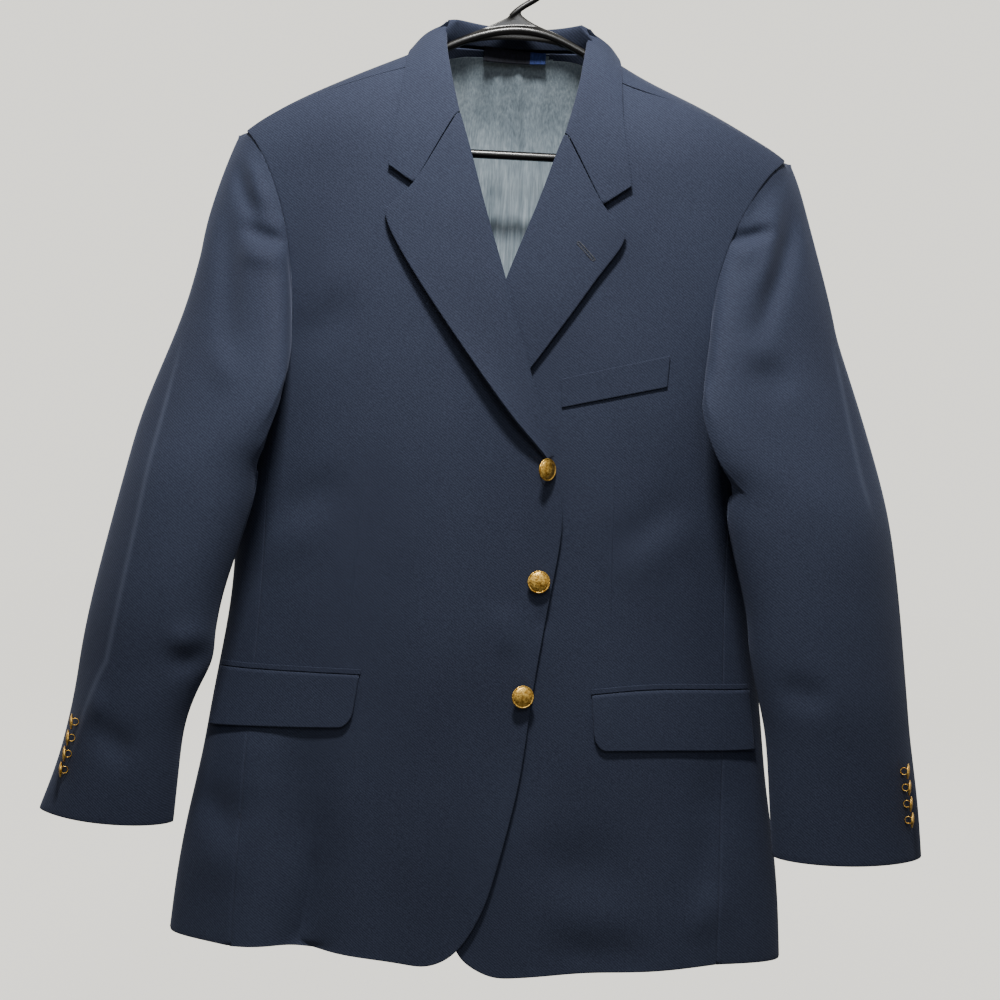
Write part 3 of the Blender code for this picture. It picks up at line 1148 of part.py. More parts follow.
def build_hanger():
    right = [(x, hanger_arm(x)) for x in (0.0, 0.03, 0.06, 0.09, 0.115, 0.14, 0.165, 0.188, 0.203)]
    left = [(-x, hanger_arm(-x)) for x in (0.203, 0.188, 0.165, 0.14, 0.115, 0.09, 0.06, 0.03)]
    turn_right = [(0.2125, -0.1765), (0.2110, -0.1860), (0.2010, BAR_HEIGHT)]
    turn_left = [(-0.2010, BAR_HEIGHT), (-0.2110, -0.1860), (-0.2125, -0.1715)]
    bar = [(x, BAR_HEIGHT) for x in (0.15, 0.075, 0.0, -0.075, -0.15)]
    frame = sweep("hanger", right + turn_right + bar + turn_left + left, ARM_HALF, 0.0038, True, BLACK)
    hook_path = [(-0.0120, -0.0690), (-0.0020, -0.0595), (0.0100, -0.0526), (0.0185, -0.0455), (0.0235, -0.0360)]
    radius, centre = 0.0240, (0.0, -0.0210)
    for degrees in range(-10, 191, 20):
        a = math.radians(degrees)
        hook_path.append((centre[0] + radius * math.cos(a), centre[1] + radius * math.sin(a)))
    hook_path.append((-0.0225, -0.0335))
    hook = sweep("hanger_hook_tool", hook_path, 0.0030, 0.0030, False, BLACK)
    web = [(-0.0440, -0.0895), (0.0330, -0.0895), (0.0300, -0.0845), (-0.0060, -0.0655), (-0.0420, -0.0845)]
    points = [(x, -0.0012, z) for x, z in web] + [(x, 0.0012, z) for x, z in web]
    n = len(web)
    faces = [tuple(range(n)), tuple(reversed(range(n, 2 * n)))]
    faces += [(k, k + n, (k + 1) % n + n, (k + 1) % n) for k in range(n)]
    plate = add("hanger_web_tool", points, faces, BLACK)
    for tool in (hook, plate):
        join = frame.modifiers.new("join " + tool.name, "BOOLEAN")
        join.operation = "UNION"
        join.solver = "EXACT"
        join.object = tool
        tool.hide_render = True


build_body(-1, "right")
build_body(1, "left")
wall("collar", collar_grid(), LAPEL_WOOL, (0, -1, 0.2), NAVY)
for side, word in ((-1, "right"), (1, "left")):
    wall("lapel_" + word, lapel_grid(side), LAPEL_WOOL, (0, -1, 0), NAVY)
    wall("pocket_flap_" + word, flap_grid(side), 0.0020, (0, -1, 0), NAVY)
    wall("pocket_jet_" + word, jet_grid(side), 0.0012, (0, -1, 0), NAVY)
wall("breast_welt", welt_grid(), 0.0012, (0, -1, 0), NAVY)
wall("lining_back", lining_grid(), LINING, (0, -1, 0), SATIN)
wall("neck_label", label_grid(), 0.0008, (0, -1, 0), LABEL_SATIN)

for number, (x, z, tilt) in enumerate(FRONT_BUTTONS, 1):
    lean = math.radians(tilt)
    spot = on_front(np.array(x - 0.006 * math.sin(lean)), np.array(z), -1)
    spot = spot + np.array((0, -WOOL / 2 - 0.0005 - 0.0014 * math.sin(lean), 0))
    shank = 0.0020 + 0.0078 * math.sin(lean)
    button("front_button_%d" % number, spot, (math.sin(lean), -math.cos(lean), 0.0), FRONT_BUTTON_WIDTH, 20, shank)

for side, word in ((-1, "right"), (1, "left")):
    for number, z in enumerate(CUFF_BUTTONS[side], 1):
        off = np.array((side * 0.0015 + 0.0006, -0.0010, 0))
        spot = sleeve_point(side, z, CUFF_BUTTON_TURN[side]) + off
        button("cuff_button_%s_%d" % (word, number), spot, (side, -0.30, 0.0), CUFF_BUTTON_WIDTH, 12, 0.0042)

build_hanger()
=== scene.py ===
import math

import bmesh
import bpy
import numpy as np
from mathutils import Matrix, Vector
from mathutils.bvhtree import BVHTree


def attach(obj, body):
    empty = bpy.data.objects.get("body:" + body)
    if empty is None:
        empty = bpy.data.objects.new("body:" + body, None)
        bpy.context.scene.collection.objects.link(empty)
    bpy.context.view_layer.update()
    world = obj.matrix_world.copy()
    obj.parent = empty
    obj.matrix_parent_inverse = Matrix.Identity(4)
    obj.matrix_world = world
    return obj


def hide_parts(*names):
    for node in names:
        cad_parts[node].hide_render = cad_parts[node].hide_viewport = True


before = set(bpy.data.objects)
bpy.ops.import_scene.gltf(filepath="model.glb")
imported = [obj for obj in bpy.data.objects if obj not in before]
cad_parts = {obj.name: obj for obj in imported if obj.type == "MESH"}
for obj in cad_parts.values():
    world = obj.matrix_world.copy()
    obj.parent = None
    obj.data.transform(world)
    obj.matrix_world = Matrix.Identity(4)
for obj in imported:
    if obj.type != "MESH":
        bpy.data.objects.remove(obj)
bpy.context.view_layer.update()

# The camera: level with the middle of the blazer and square to its front, and
# rolled three degrees, because the blazer hangs a little askew in the picture.
ROLL = math.radians(3.0)
CAMERA_PLACE = (0.002, -1.40, -0.510)
# In millimetres.
SENSOR_WIDTH = 36.0
FOCAL_LENGTH = 55.2
camera = bpy.data.objects.new("camera", bpy.data.cameras.new("camera"))
bpy.context.scene.collection.objects.link(camera)
camera.data.sensor_width = SENSOR_WIDTH
camera.data.lens = FOCAL_LENGTH
camera.matrix_world = Matrix((
    (math.cos(ROLL), -math.sin(ROLL), 0.0, CAMERA_PLACE[0]),
    (0.0, 0.0, -1.0, CAMERA_PLACE[1]),
    (math.sin(ROLL), math.cos(ROLL), 0.0, CAMERA_PLACE[2]),
    (0.0, 0.0, 0.0, 1.0),
))
bpy.context.scene.camera = camera


# The studio: a plain pale floor below the hem, a pale surround, and soft lamps.
# The main lamp is above and in front, so the shoulders are light and the skirt is dark.
def colour(code, alpha=1.0):
    """The linear colour of an sRGB hex code."""
    parts = [int(code[i:i + 2], 16) / 255 for i in (1, 3, 5)]
    linear = [p / 12.92 if p <= 0.04045 else ((p + 0.055) / 1.055) ** 2.4 for p in parts]
    return (*linear, alpha)


def node(tree, kind, values=(), links=(), **settings):
    """Adds a node to a tree, with its settings, its sockets' values and its links."""
    made = tree.nodes.new(kind)
    for name, value in settings.items():
        setattr(made, name, value)
    for socket, value in dict(values).items():
        made.inputs[socket].default_value = value
    for socket, source in dict(links).items():
        tree.links.new(source, made.inputs[socket])
    return made


def finish_of(name):
    """A new material with no nodes yet, and the tree that it is drawn in."""
    made = bpy.data.materials.new(name)
    made.use_nodes = True
    made.node_tree.nodes.clear()
    return made, made.node_tree


FLOOR_HEIGHT = -1.12
FLOOR_REACH = 9.0
FLOOR_SIDES = 64
PALE_GREY = "#F1EEE4"
# The floor and the surround look equally pale, and throw only a weak light on the cloth.
SEEN_LIGHT = 1.60
FILL_LIGHT = 0.16
# The far surround is a little brighter than the floor, and shiny faces see part of its light.
FAR_LIGHT = 1.08
SEEN_IN_SHINE = 0.60
floor_paint, tree = finish_of("pale matt floor paint")
seen = node(tree, "ShaderNodeLightPath")
glow = node(
    tree, "ShaderNodeMath", {1: SEEN_LIGHT}, {0: seen.outputs["Is Camera Ray"]}, operation="MULTIPLY",
)
paint = node(
    tree, "ShaderNodeBsdfPrincipled",
    {"Base Color": colour("#6E6C68"), "Roughness": 0.9, "Emission Color": colour(PALE_GREY)},
    {"Emission Strength": glow.outputs[0]},
)
node(tree, "ShaderNodeOutputMaterial", links={"Surface": paint.outputs[0]})
floor_mesh = bpy.data.meshes.new("floor")
turns = np.linspace(0, 2 * math.pi, FLOOR_SIDES, endpoint=False)
rim = [(FLOOR_REACH * math.cos(a), FLOOR_REACH * math.sin(a), FLOOR_HEIGHT) for a in turns]
floor_mesh.from_pydata(rim, [], [tuple(range(FLOOR_SIDES))])
floor_mesh.materials.append(floor_paint)
floor = bpy.data.objects.new("floor", floor_mesh)
bpy.context.scene.collection.objects.link(floor)

surround = bpy.data.worlds.new("pale surround")
bpy.context.scene.world = surround
surround.use_nodes = True
tree = surround.node_tree
tree.nodes.clear()
seen = node(tree, "ShaderNodeLightPath")
glint = node(
    tree, "ShaderNodeMath", {1: SEEN_IN_SHINE}, {0: seen.outputs["Is Glossy Ray"]}, operation="MULTIPLY",
)
shown = node(
    tree, "ShaderNodeMath", links={0: seen.outputs["Is Camera Ray"], 1: glint.outputs[0]},
    operation="MAXIMUM",
)
strength = node(
    tree, "ShaderNodeMapRange", {3: FILL_LIGHT, 4: FAR_LIGHT * SEEN_LIGHT}, {0: shown.outputs[0]},
)
air = node(tree, "ShaderNodeBackground", {"Color": colour(PALE_GREY)}, {"Strength": strength.outputs[0]})
node(tree, "ShaderNodeOutputWorld", links={"Surface": air.outputs[0]})


def lamp(name, place, aim, size, power, tint):
    """A soft square lamp at a place, turned to a point."""
    made = bpy.data.objects.new(name, bpy.data.lights.new(name, "AREA"))
    bpy.context.scene.collection.objects.link(made)
    made.data.shape = "RECTANGLE"
    made.data.size, made.data.size_y = size
    made.data.energy = power
    made.data.color = colour(tint)[:3]
    made.location = place
    made.rotation_euler = (Vector(aim) - Vector(place)).to_track_quat("-Z", "Y").to_euler()


lamp("overhead lamp", (-0.06, -0.64, 0.50), (0.0, 0.0, -0.36), (0.18, 0.13), 15.6, "#FFFDF8")
lamp("front lamp", (0.1, -2.3, 0.7), (0.0, 0.0, -0.28), (0.7, 0.7), 7.5, "#F4F8FF")
lamp("back lamp", (0.3, 2.0, 0.9), (0.0, 0.0, -0.5), (1.6, 1.2), 36.0, "#FFFFFF")

# The cloth of the body: navy wool serge, a fine twill with a soft milled nap. The
# fronts, sides and back are cut separately, and are sewn together at plain seams.
# Real ribs are 0.5 mm apart. They are drawn 1.9 mm apart, or they would not show.
RIB_SPACING = 0.001904
RIB_SLANT = math.radians(52)
# A wave texture of scale 1 has this distance between its bands.
WAVE_SPACING = math.pi / 10
# The nap stands in grains of about 1.6 mm, and the tone drifts over a hand's width.
NAP_GRAIN = 0.001613
DRIFT_WIDTH = 0.143


def twill(name, ground, light, dark):
    """Wool twill: fine slanting ribs and nap over a slow change of tone."""
    made, tree = finish_of(name)
    place = node(tree, "ShaderNodeTexCoord").outputs["Object"]
    slanted = node(tree, "ShaderNodeMapping", {"Rotation": (0.0, RIB_SLANT, 0.0)}, {"Vector": place})
    ribs = node(
        tree, "ShaderNodeTexWave",
        {"Scale": WAVE_SPACING / RIB_SPACING, "Distortion": 1.6, "Detail": 1.0, "Detail Scale": 2.0},
        {"Vector": slanted.outputs[0]}, wave_type="BANDS", bands_direction="X",
    )
    nap = node(
        tree, "ShaderNodeTexNoise", {"Scale": 1 / NAP_GRAIN, "Detail": 3.0, "Roughness": 0.65},
        {"Vector": place},
    )
    drift = node(
        tree, "ShaderNodeTexNoise", {"Scale": 1 / DRIFT_WIDTH, "Detail": 2.0, "Roughness": 0.5},
        {"Vector": place},
    )
    grain = node(
        tree, "ShaderNodeMix", {"Factor": 0.30}, {2: nap.outputs["Fac"], 3: ribs.outputs["Fac"]},
        data_type="FLOAT",
    )
    tone = node(tree, "ShaderNodeMath", {1: 0.75}, {0: grain.outputs[0]}, operation="MULTIPLY")
    tone = node(
        tree, "ShaderNodeMath", {1: 0.25}, {0: drift.outputs["Fac"], 2: tone.outputs[0]},
        operation="MULTIPLY_ADD",
    )
    shade = node(tree, "ShaderNodeValToRGB", links={0: tone.outputs[0]})
    shade.color_ramp.elements[0].position = 0.30
    shade.color_ramp.elements[0].color = colour(dark)
    shade.color_ramp.elements[1].position = 0.72
    shade.color_ramp.elements[1].color = colour(light)
    shade.color_ramp.elements.new(0.50).color = colour(ground)
    # A pressed line shines where the iron polished it, and that shine is painted into its colour as a paler
    # line, a painted highlight. The attribute read here says how much.
    pressed = node(tree, "ShaderNodeAttribute", attribute_name="press")
    shade = node(
        tree, "ShaderNodeMix", {7: colour("#6F7890")}, {0: pressed.outputs["Fac"], 6: shade.outputs[0]},
        data_type="RGBA",
    )
    relief = node(
        tree, "ShaderNodeBump", {"Strength": 0.35, "Distance": 0.0004}, {"Height": grain.outputs[0]},
    )
    face = node(
        tree, "ShaderNodeBsdfPrincipled",
        {"Roughness": 0.82, "IOR": 1.5, "Specular IOR Level": 0.22, "Sheen Weight": 0.22,
         "Sheen Roughness": 0.45, "Sheen Tint": colour("#9FA9C8")},
        {"Base Color": shade.outputs[2], "Normal": relief.outputs[0]},
    )
    node(tree, "ShaderNodeOutputMaterial", links={"Surface": face.outputs[0]})
    return made


# Navy wool serge: dark, matt and slightly blue, and paler where light rakes over the nap.
navy_serge = twill("navy wool serge", "#343A4E", "#424A60", "#272C3E")

# Satin's threads run up the piece: a streak is this many times as long as it is wide.
# Its shine is uneven in patches of about 45 mm, and this is painted into its colour as paler and darker
# patches, a painted sheen.
STREAK_LENGTH = 1 / 0.06
SHEEN_PATCH_WIDTH = 0.04545


def satin(name, ground, light, dark, thread, rough=0.36, shine=0.6):
    """Woven satin: smooth, with fine upright streaks, a soft shine, and painted sheen in broad patches."""
    made, tree = finish_of(name)
    place = node(tree, "ShaderNodeTexCoord").outputs["Object"]
    drawn = node(
        tree, "ShaderNodeMapping", {"Scale": (1 / thread, 1 / thread, 1 / thread / STREAK_LENGTH)},
        {"Vector": place},
    )
    threads = node(
        tree, "ShaderNodeTexNoise", {"Scale": 1.0, "Detail": 4.0, "Roughness": 0.6},
        {"Vector": drawn.outputs[0]},
    )
    # Painted sheen: the colour is made paler and darker in broad patches, standing for uneven shine.
    painted_sheen_patches = node(tree, "ShaderNodeTexNoise", {"Scale": 1 / SHEEN_PATCH_WIDTH, "Detail": 3.0}, {"Vector": place})
    tone = node(
        tree, "ShaderNodeMix", {"Factor": 0.45}, {2: threads.outputs["Fac"], 3: painted_sheen_patches.outputs["Fac"]},
        data_type="FLOAT",
    )
    shade = node(tree, "ShaderNodeValToRGB", links={0: tone.outputs[0]})
    shade.color_ramp.elements[0].position = 0.34
    shade.color_ramp.elements[0].color = colour(dark)
    shade.color_ramp.elements[1].position = 0.66
    shade.color_ramp.elements[1].color = colour(light)
    shade.color_ramp.elements.new(0.5).color = colour(ground)
    relief = node(tree, "ShaderNodeBump", {"Strength": 0.45, "Distance": 0.0006}, {"Height": tone.outputs[0]})
    face = node(
        tree, "ShaderNodeBsdfPrincipled",
        {"Roughness": rough, "IOR": 1.5, "Specular IOR Level": shine, "Anisotropic": 0.4,
         "Sheen Weight": 0.15 * shine},
        {"Base Color": shade.outputs[0], "Normal": relief.outputs[0]},
    )
    node(tree, "ShaderNodeOutputMaterial", links={"Surface": face.outputs[0]})
    return made


# Grey-blue acetate satin: the lining, pale beside the wool, with a silky shine. Its
# threads are finer than 0.1 mm, and are drawn 1.6 mm apart, or they would not show.
lining_satin = satin("grey blue lining satin", "#8795A0", "#A6B4BE", "#66737E", 0.001613)

# Points nearer than this are one, and triangles that meet at less than this are a pair.
MERGE_REACH = 1e-5
PAIR_ANGLE = math.radians(50)


def quads_of(name):
    """A CAD node's mesh is loose triangles that already point the right way, so it is left
    alone, and a copy of it is merged first. Its triangles are then joined in pairs."""
    work = bmesh.new()
    work.from_mesh(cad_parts[name].data)
    bmesh.ops.remove_doubles(work, verts=work.verts, dist=MERGE_REACH)
    bmesh.ops.join_triangles(
        work, faces=work.faces, angle_face_threshold=PAIR_ANGLE, angle_shape_threshold=math.pi,
        topology_influence=2.0,
    )
    return work


# An edge that turns by more than this is a rim, and is kept nearly crisp.
SHARP_RIM = math.radians(38)
RIM_CREASE = 0.62


def smoothed(name, levels, finish, rim=RIM_CREASE):
    """The solid's form made smooth: its rim stays crisp, and its facets go."""
    work = quads_of(name)
    crease = work.edges.layers.float.new("crease_edge")
    kept = work.verts.layers.float.new("crease_vert")
    for edge in work.edges:
        if edge.calc_face_angle(0.0) > SHARP_RIM:
            edge[crease] = rim
    for vertex in work.verts:
        if rim and sum(edge[crease] > 0 for edge in vertex.link_edges) > 2:
            vertex[kept] = 1.0
    mesh = bpy.data.meshes.new(name + "_cloth")
    work.to_mesh(mesh)
    work.free()
    made = bpy.data.objects.new(name + "_cloth", mesh)
    bpy.context.scene.collection.objects.link(made)
    finer = made.modifiers.new("finer", "SUBSURF")
    finer.levels = finer.render_levels = levels
    graph = bpy.context.evaluated_depsgraph_get()
    dense = bpy.data.meshes.new_from_object(made.evaluated_get(graph))
    made.modifiers.clear()
    made.data = dense
    dense.materials.clear()
    for surface in finish:
        dense.materials.append(surface)
    dense.polygons.foreach_set("use_smooth", [True] * len(dense.polygons))
    return made


def points_of(made):
    """The places of a mesh's vertices, one row each."""
    flat = np.empty(len(made.data.vertices) * 3)
    made.data.vertices.foreach_get("co", flat)
    return flat.reshape(-1, 3)


def put_points(made, points):
    """Puts a mesh's vertices at new places."""
    made.data.vertices.foreach_set("co", points.ravel())
    made.data.update()


def along(x, z, path):
    """How far points are from a path, as seen from the front, and their share of the way along it."""
    path = np.array(path, float)
    steps = np.diff(path, axis=0)
    lengths = np.hypot(steps[:, 0], steps[:, 1])
    start = np.concatenate([[0], np.cumsum(lengths)[:-1]])
    nearest, share = np.full(len(x), np.inf), np.zeros(len(x))
    for i, (dx, dz) in enumerate(steps):
        t = np.clip(((x - path[i, 0]) * dx + (z - path[i, 1]) * dz) / lengths[i] ** 2, 0, 1)
        away = np.hypot(x - path[i, 0] - t * dx, z - path[i, 1] - t * dz)
        closer = away < nearest
        nearest = np.where(closer, away, nearest)
        share = np.where(closer, (start[i] + t * lengths[i]) / lengths.sum(), share)
    return nearest, share


def creased(points, folds, ways):
    """Moves a skin forwards at its ridges and back at its troughs, whose depth is below 0.
    A fold is its path, its width, its depth, and the share of it that fades at each end."""
    push = np.zeros(len(points))
    for path, width, depth, fade in folds:
        away, share = along(points[:, 0], points[:, 2], path)
        edge = np.clip(np.minimum(share, 1 - share) / fade, 0, 1)
        push += depth * np.exp(-(away / width) ** 2) * edge * edge * (3 - 2 * edge)
    return points - np.array((0.0, 1.0, 0.0)) * (push * ways)[:, None]


# How softly the front of a tube of cloth passes into its back.
CHANGE_DEPTH = 0.004


def front_share(points, middle):
    """1 on the front of a tube of cloth, 0 on its back, with a soft change between."""
    return 1 / (1 + np.exp((points[:, 1] - middle) / CHANGE_DEPTH))


# Subdivisions of a cloth panel, and of a small faced piece.
PANEL_LEVELS = 3
SMALL_LEVELS = 2
# What each piece was cut to: width, length and area in metres, how it is held, and on
# what. The cuts are those of what shows, without the turnings and hems inside.
BODY_CUTS = {
    "front_right": (0.271, 0.870, 0.1777, "hung", ("hanger",)),
    "front_left": (0.276, 0.864, 0.1838, "hung", ("hanger",)),
    "back_right": (0.330, 0.870, 0.1736, "hung", ("hanger",)),
    "back_left": (0.339, 0.875, 0.1736, "hung", ("hanger",)),
    "side_right": (0.169, 0.518, 0.0634, "hung", ("front_right", "back_right")),
    "side_left": (0.166, 0.518, 0.0628, "hung", ("front_left", "back_left")),
}
# Each fold: its path (x, z) in metres as seen from the front, width, depth, fade.
FRONT_FOLDS = (
    (((-0.198, -0.392), (-0.166, -0.366), (-0.128, -0.330)), 0.017, -0.0018, 0.45),
    (((-0.196, -0.372), (-0.166, -0.336), (-0.132, -0.290)), 0.020, 0.0020, 0.45),
    (((-0.205, -0.548), (-0.174, -0.522), (-0.130, -0.490)), 0.017, -0.0024, 0.45),
    (((-0.220, -0.592), (-0.184, -0.556), (-0.145, -0.518)), 0.019, 0.0024, 0.45),
    (((0.092, -0.562), (0.128, -0.532), (0.172, -0.488)), 0.016, -0.0024, 0.45),
    (((0.104, -0.584), (0.145, -0.548), (0.186, -0.508)), 0.018, 0.0018, 0.45),
    (((-0.262, -0.772), (-0.240, -0.800), (-0.205, -0.822)), 0.018, -0.0045, 0.45),
    (((-0.262, -0.826), (-0.236, -0.842), (-0.200, -0.850)), 0.020, 0.0026, 0.45),
    (((-0.160, -0.705), (-0.164, -0.783), (-0.146, -0.870)), 0.030, -0.0038, 0.40),
    (((-0.200, -0.715), (-0.206, -0.800)), 0.026, 0.0028, 0.40),
    (((0.020, -0.824), (0.080, -0.830), (0.140, -0.820)), 0.026, -0.0030, 0.45),
    (((0.050, -0.868), (0.104, -0.876), (0.160, -0.866)), 0.022, 0.0026, 0.45),
    (((0.040, -0.902), (0.110, -0.908), (0.180, -0.898)), 0.018, -0.0020, 0.45),
    (((0.200, -0.720), (0.206, -0.790), (0.196, -0.870)), 0.018, -0.0034, 0.40),
    (((0.218, -0.835), (0.206, -0.868), (0.186, -0.895)), 0.016, 0.0028, 0.45),
    (((0.008, -0.598), (0.014, -0.632), (0.018, -0.652)), 0.012, 0.0020, 0.40),
    (((0.046, -0.600), (0.043, -0.628)), 0.006, -0.0014, 0.40),
)
# Behind this y the side panels belong to the back, and the folds leave them alone.
SIDE_MIDDLE = 0.018
# The serge is turned in this far at the hem, from the front edges and at the seams.
FACING_DEPTH = 0.030
FRONT_FACING = 0.075
SEAM_TURNING = 0.010
# A face is an inner one if it points back to the middle at least this squarely.
FACES_IN = 0.5


def lined(piece, centre, wool):
    """Gives the inner faces the lining, except where wool says that the cloth is turned in."""
    for face in piece.data.polygons:
        middle = face.center
        outward = middle - centre(middle)
        if outward.dot(face.normal) < -FACES_IN * outward.length and not wool(middle):
            face.material_index = 1


# The middle of the body is a plane at this depth, under half as wide as the body.
CORE_WIDTH = 0.45
CORE_DEPTH = 0.012


def body_centre(point):
    """The middle of the body that a point of it is seen from."""
    return Vector((CORE_WIDTH * point.x, CORE_DEPTH, point.z))


def skin_of(piece):
    """A piece's faces, ready to be searched for the nearest place or hit by a line."""
    places = [vertex.co.copy() for vertex in piece.data.vertices]
    return BVHTree.FromPolygons(places, [tuple(face.vertices) for face in piece.data.polygons])


# How near a seam a border is drawn in to it, so that the seam closes.
SIDE_REACH = 0.0050
HEAD_REACH = 0.0050
TIP_REACH = 0.0110
# The shoulder tip starts at this height and takes this much more to be full.
TIP_START = -0.245
TIP_RISE = 0.03
# The pull is full near the seam, fades over this last share of the reach, and leaves
# a hair's gap.
PULL_FADE = 0.55
SEAM_GAP = 0.0001


def eased(points, trees, reach, tip_reach):
    """Draws a piece's border in to the pieces it is sewn to, from further off at the shoulder tip."""
    for i in range(len(points)):
        x, y, z = points[i]
        near = max(reach, tip_reach * min(1.0, max(0.0, (z - TIP_START) / TIP_RISE)))
        found = [tree.find_nearest(Vector((x, y, z)), near) for tree in trees]
        found = [hit for hit in found if hit[0] is not None]
        if not found:
            continue
        place, _, _, gap = min(found, key=lambda hit: hit[3])
        share = min(1.0, (near - gap) / (PULL_FADE * near))
        if gap > SEAM_GAP:
            points[i] += (np.array(place) - points[i]) * share * share * (gap - SEAM_GAP) / gap
    return points


def cut_and_sewn(piece, name):
    """Says what a piece rides on, and hides the CAD node that it stands for."""
    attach(piece, "root")
    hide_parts(name)


# The shoulder tips drop this far, from this x outwards and this height upwards, so that
# they lie in the sleeve heads: each start is followed by the way to the full drop.
TIP_DROP = 0.0026
DROP_OUTWARDS = (0.226, 0.024)
DROP_UPWARDS = (-0.215, 0.02)


def ramp(values, start, way):
    """0 up to the start, then evenly up to 1 over the way."""
    return np.clip((values - start) / way, 0, 1)


body_cloth = {}
for name in BODY_CUTS:
    piece = smoothed(name, PANEL_LEVELS, (navy_serge, lining_satin))
    points = points_of(piece)
    if not name.startswith("back"):
        points = creased(points, FRONT_FOLDS, front_share(points, SIDE_MIDDLE))
    if name.startswith("side"):
        word = name.split("_")[1]
        neighbours = [skin_of(body_cloth[part + word]) for part in ("front_", "back_")]
        points = eased(points, neighbours, SIDE_REACH, 0.0)
    else:
        tip = ramp(np.abs(points[:, 0]), *DROP_OUTWARDS) * ramp(points[:, 2], *DROP_UPWARDS)
        points[:, 2] -= TIP_DROP * tip * tip
    put_points(piece, points)
    body_cloth[name] = piece

skins = {name: skin_of(piece) for name, piece in body_cloth.items()}
for name, piece in body_cloth.items():
    hem = points_of(piece)[:, 2].min() + FACING_DEPTH
    edge = FRONT_FACING if name.startswith("front") else 0.0
    others = [skin for other, skin in skins.items() if other != name]
    lined(piece, body_centre, lambda p: (
        p.z < hem or abs(p.x) < edge
        or any(skin.find_nearest(p, SEAM_TURNING)[0] is not None for skin in others)
    ))
    cut_and_sewn(piece, name)

# The set-in sleeves: each has a top and an under half of the same serge, sewn
# together down both sides, pleated softly under the shoulder, and pressed flat.
# The folds of each sleeve, in the same columns as those of the fronts.
SLEEVE_FOLDS = {
    -1: (
        (((-0.2480, -0.276), (-0.2200, -0.287), (-0.1900, -0.296)), 0.0075, -0.0080, 0.40),
        (((-0.2460, -0.300), (-0.2180, -0.308), (-0.1900, -0.308)), 0.0090, 0.0042, 0.40),
        (((-0.2540, -0.205), (-0.2417, -0.246), (-0.2300, -0.270), (-0.2180, -0.284)),
         0.0085, -0.0055, 0.40),
        (((-0.2420, -0.205), (-0.2295, -0.242), (-0.2120, -0.270)), 0.0100, 0.0040, 0.40),
        (((-0.2640, -0.225), (-0.2540, -0.283), (-0.2470, -0.334), (-0.2410, -0.420)),
         0.0130, -0.0060, 0.40),
        (((-0.2560, -0.375), (-0.2450, -0.404), (-0.2300, -0.432)), 0.0130, 0.0034, 0.45),
        (((-0.2800, -0.668), (-0.2514, -0.660), (-0.2280, -0.645)), 0.0120, -0.0044, 0.45),
        (((-0.2820, -0.646), (-0.2561, -0.642), (-0.2340, -0.630)), 0.0120, 0.0030, 0.45),
        (((-0.3400, -0.712), (-0.3183, -0.732), (-0.2900, -0.748)), 0.0140, -0.0036, 0.45),
        (((-0.3460, -0.700), (-0.3200, -0.706)), 0.0130, 0.0024, 0.45),
    ),
    1: (
        (((0.1880, -0.270), (0.2120, -0.264), (0.2400, -0.255)), 0.0060, -0.0070, 0.40),
        (((0.1930, -0.284), (0.2240, -0.278)), 0.0090, 0.0030, 0.45),
        (((0.2560, -0.205), (0.2500, -0.260), (0.2390, -0.301), (0.2269, -0.336), (0.2080, -0.380)),
         0.0100, -0.0080, 0.40),
        (((0.2360, -0.215), (0.2300, -0.280), (0.2140, -0.330)), 0.0110, 0.0046, 0.40),
        (((0.2080, -0.376), (0.2317, -0.390), (0.2560, -0.410)), 0.0170, -0.0044, 0.45),
        (((0.1950, -0.356), (0.2167, -0.368), (0.2420, -0.386)), 0.0140, 0.0030, 0.45),
        (((0.2400, -0.650), (0.2700, -0.662), (0.3000, -0.664)), 0.0140, -0.0034, 0.45),
    ),
}
# The pressed line of each sleeve (x, z), its width, how far it stands up, how pale its painted
# highlight is, and the share of it that fades at each end.
PRESS_WIDTH = 0.0022
PRESS_HEIGHT = 0.0007
PRESS_HIGHLIGHT_TONE = 0.28
PRESS_FADE = 0.15
PRESSED = {
    -1: (
        (-0.2876, -0.374), (-0.2964, -0.450), (-0.3012, -0.487), (-0.3073, -0.539), (-0.3139, -0.584),
        (-0.3200, -0.622), (-0.3266, -0.665), (-0.3346, -0.682), (-0.3443, -0.709), (-0.3538, -0.741),
        (-0.3667, -0.775),
    ),
    1: ((0.2931, -0.352), (0.3004, -0.390), (0.3077, -0.430), (0.3168, -0.476), (0.3274, -0.512)),
}
# How deep the middle of a sleeve lies: height, depth.
SLEEVE_MIDDLE = ((-0.20, 0.004), (-0.35, -0.004), (-0.50, -0.028), (-0.65, -0.048), (-0.81, -0.066))
heights, middles = np.array(SLEEVE_MIDDLE)[::-1].T

# The sleeve head is lifted this far, from this x inwards and this height upwards, to
# meet the shoulder. Each start is followed by the way to the full lift.
HEAD_LIFT = 0.0032
LIFT_INWARDS = (0.2545, 0.0075)
LIFT_UPWARDS = (-0.207, 0.022)
# Above this height the sleeve's border is drawn in to the armhole.
ARMHOLE_FOOT = -0.45
# The bend of the sleeve below the armhole, where its rings change shape, is evened out:
# its height, how far it reaches up and down, its outer x, and the way that it fades over.
BEND_HEIGHT = -0.498
BEND_REACH = 0.030
BEND_INNER = 0.262
BEND_FADE = 0.02
WIDE_MEAN = 0.0085
NARROW_MEAN = 0.0022


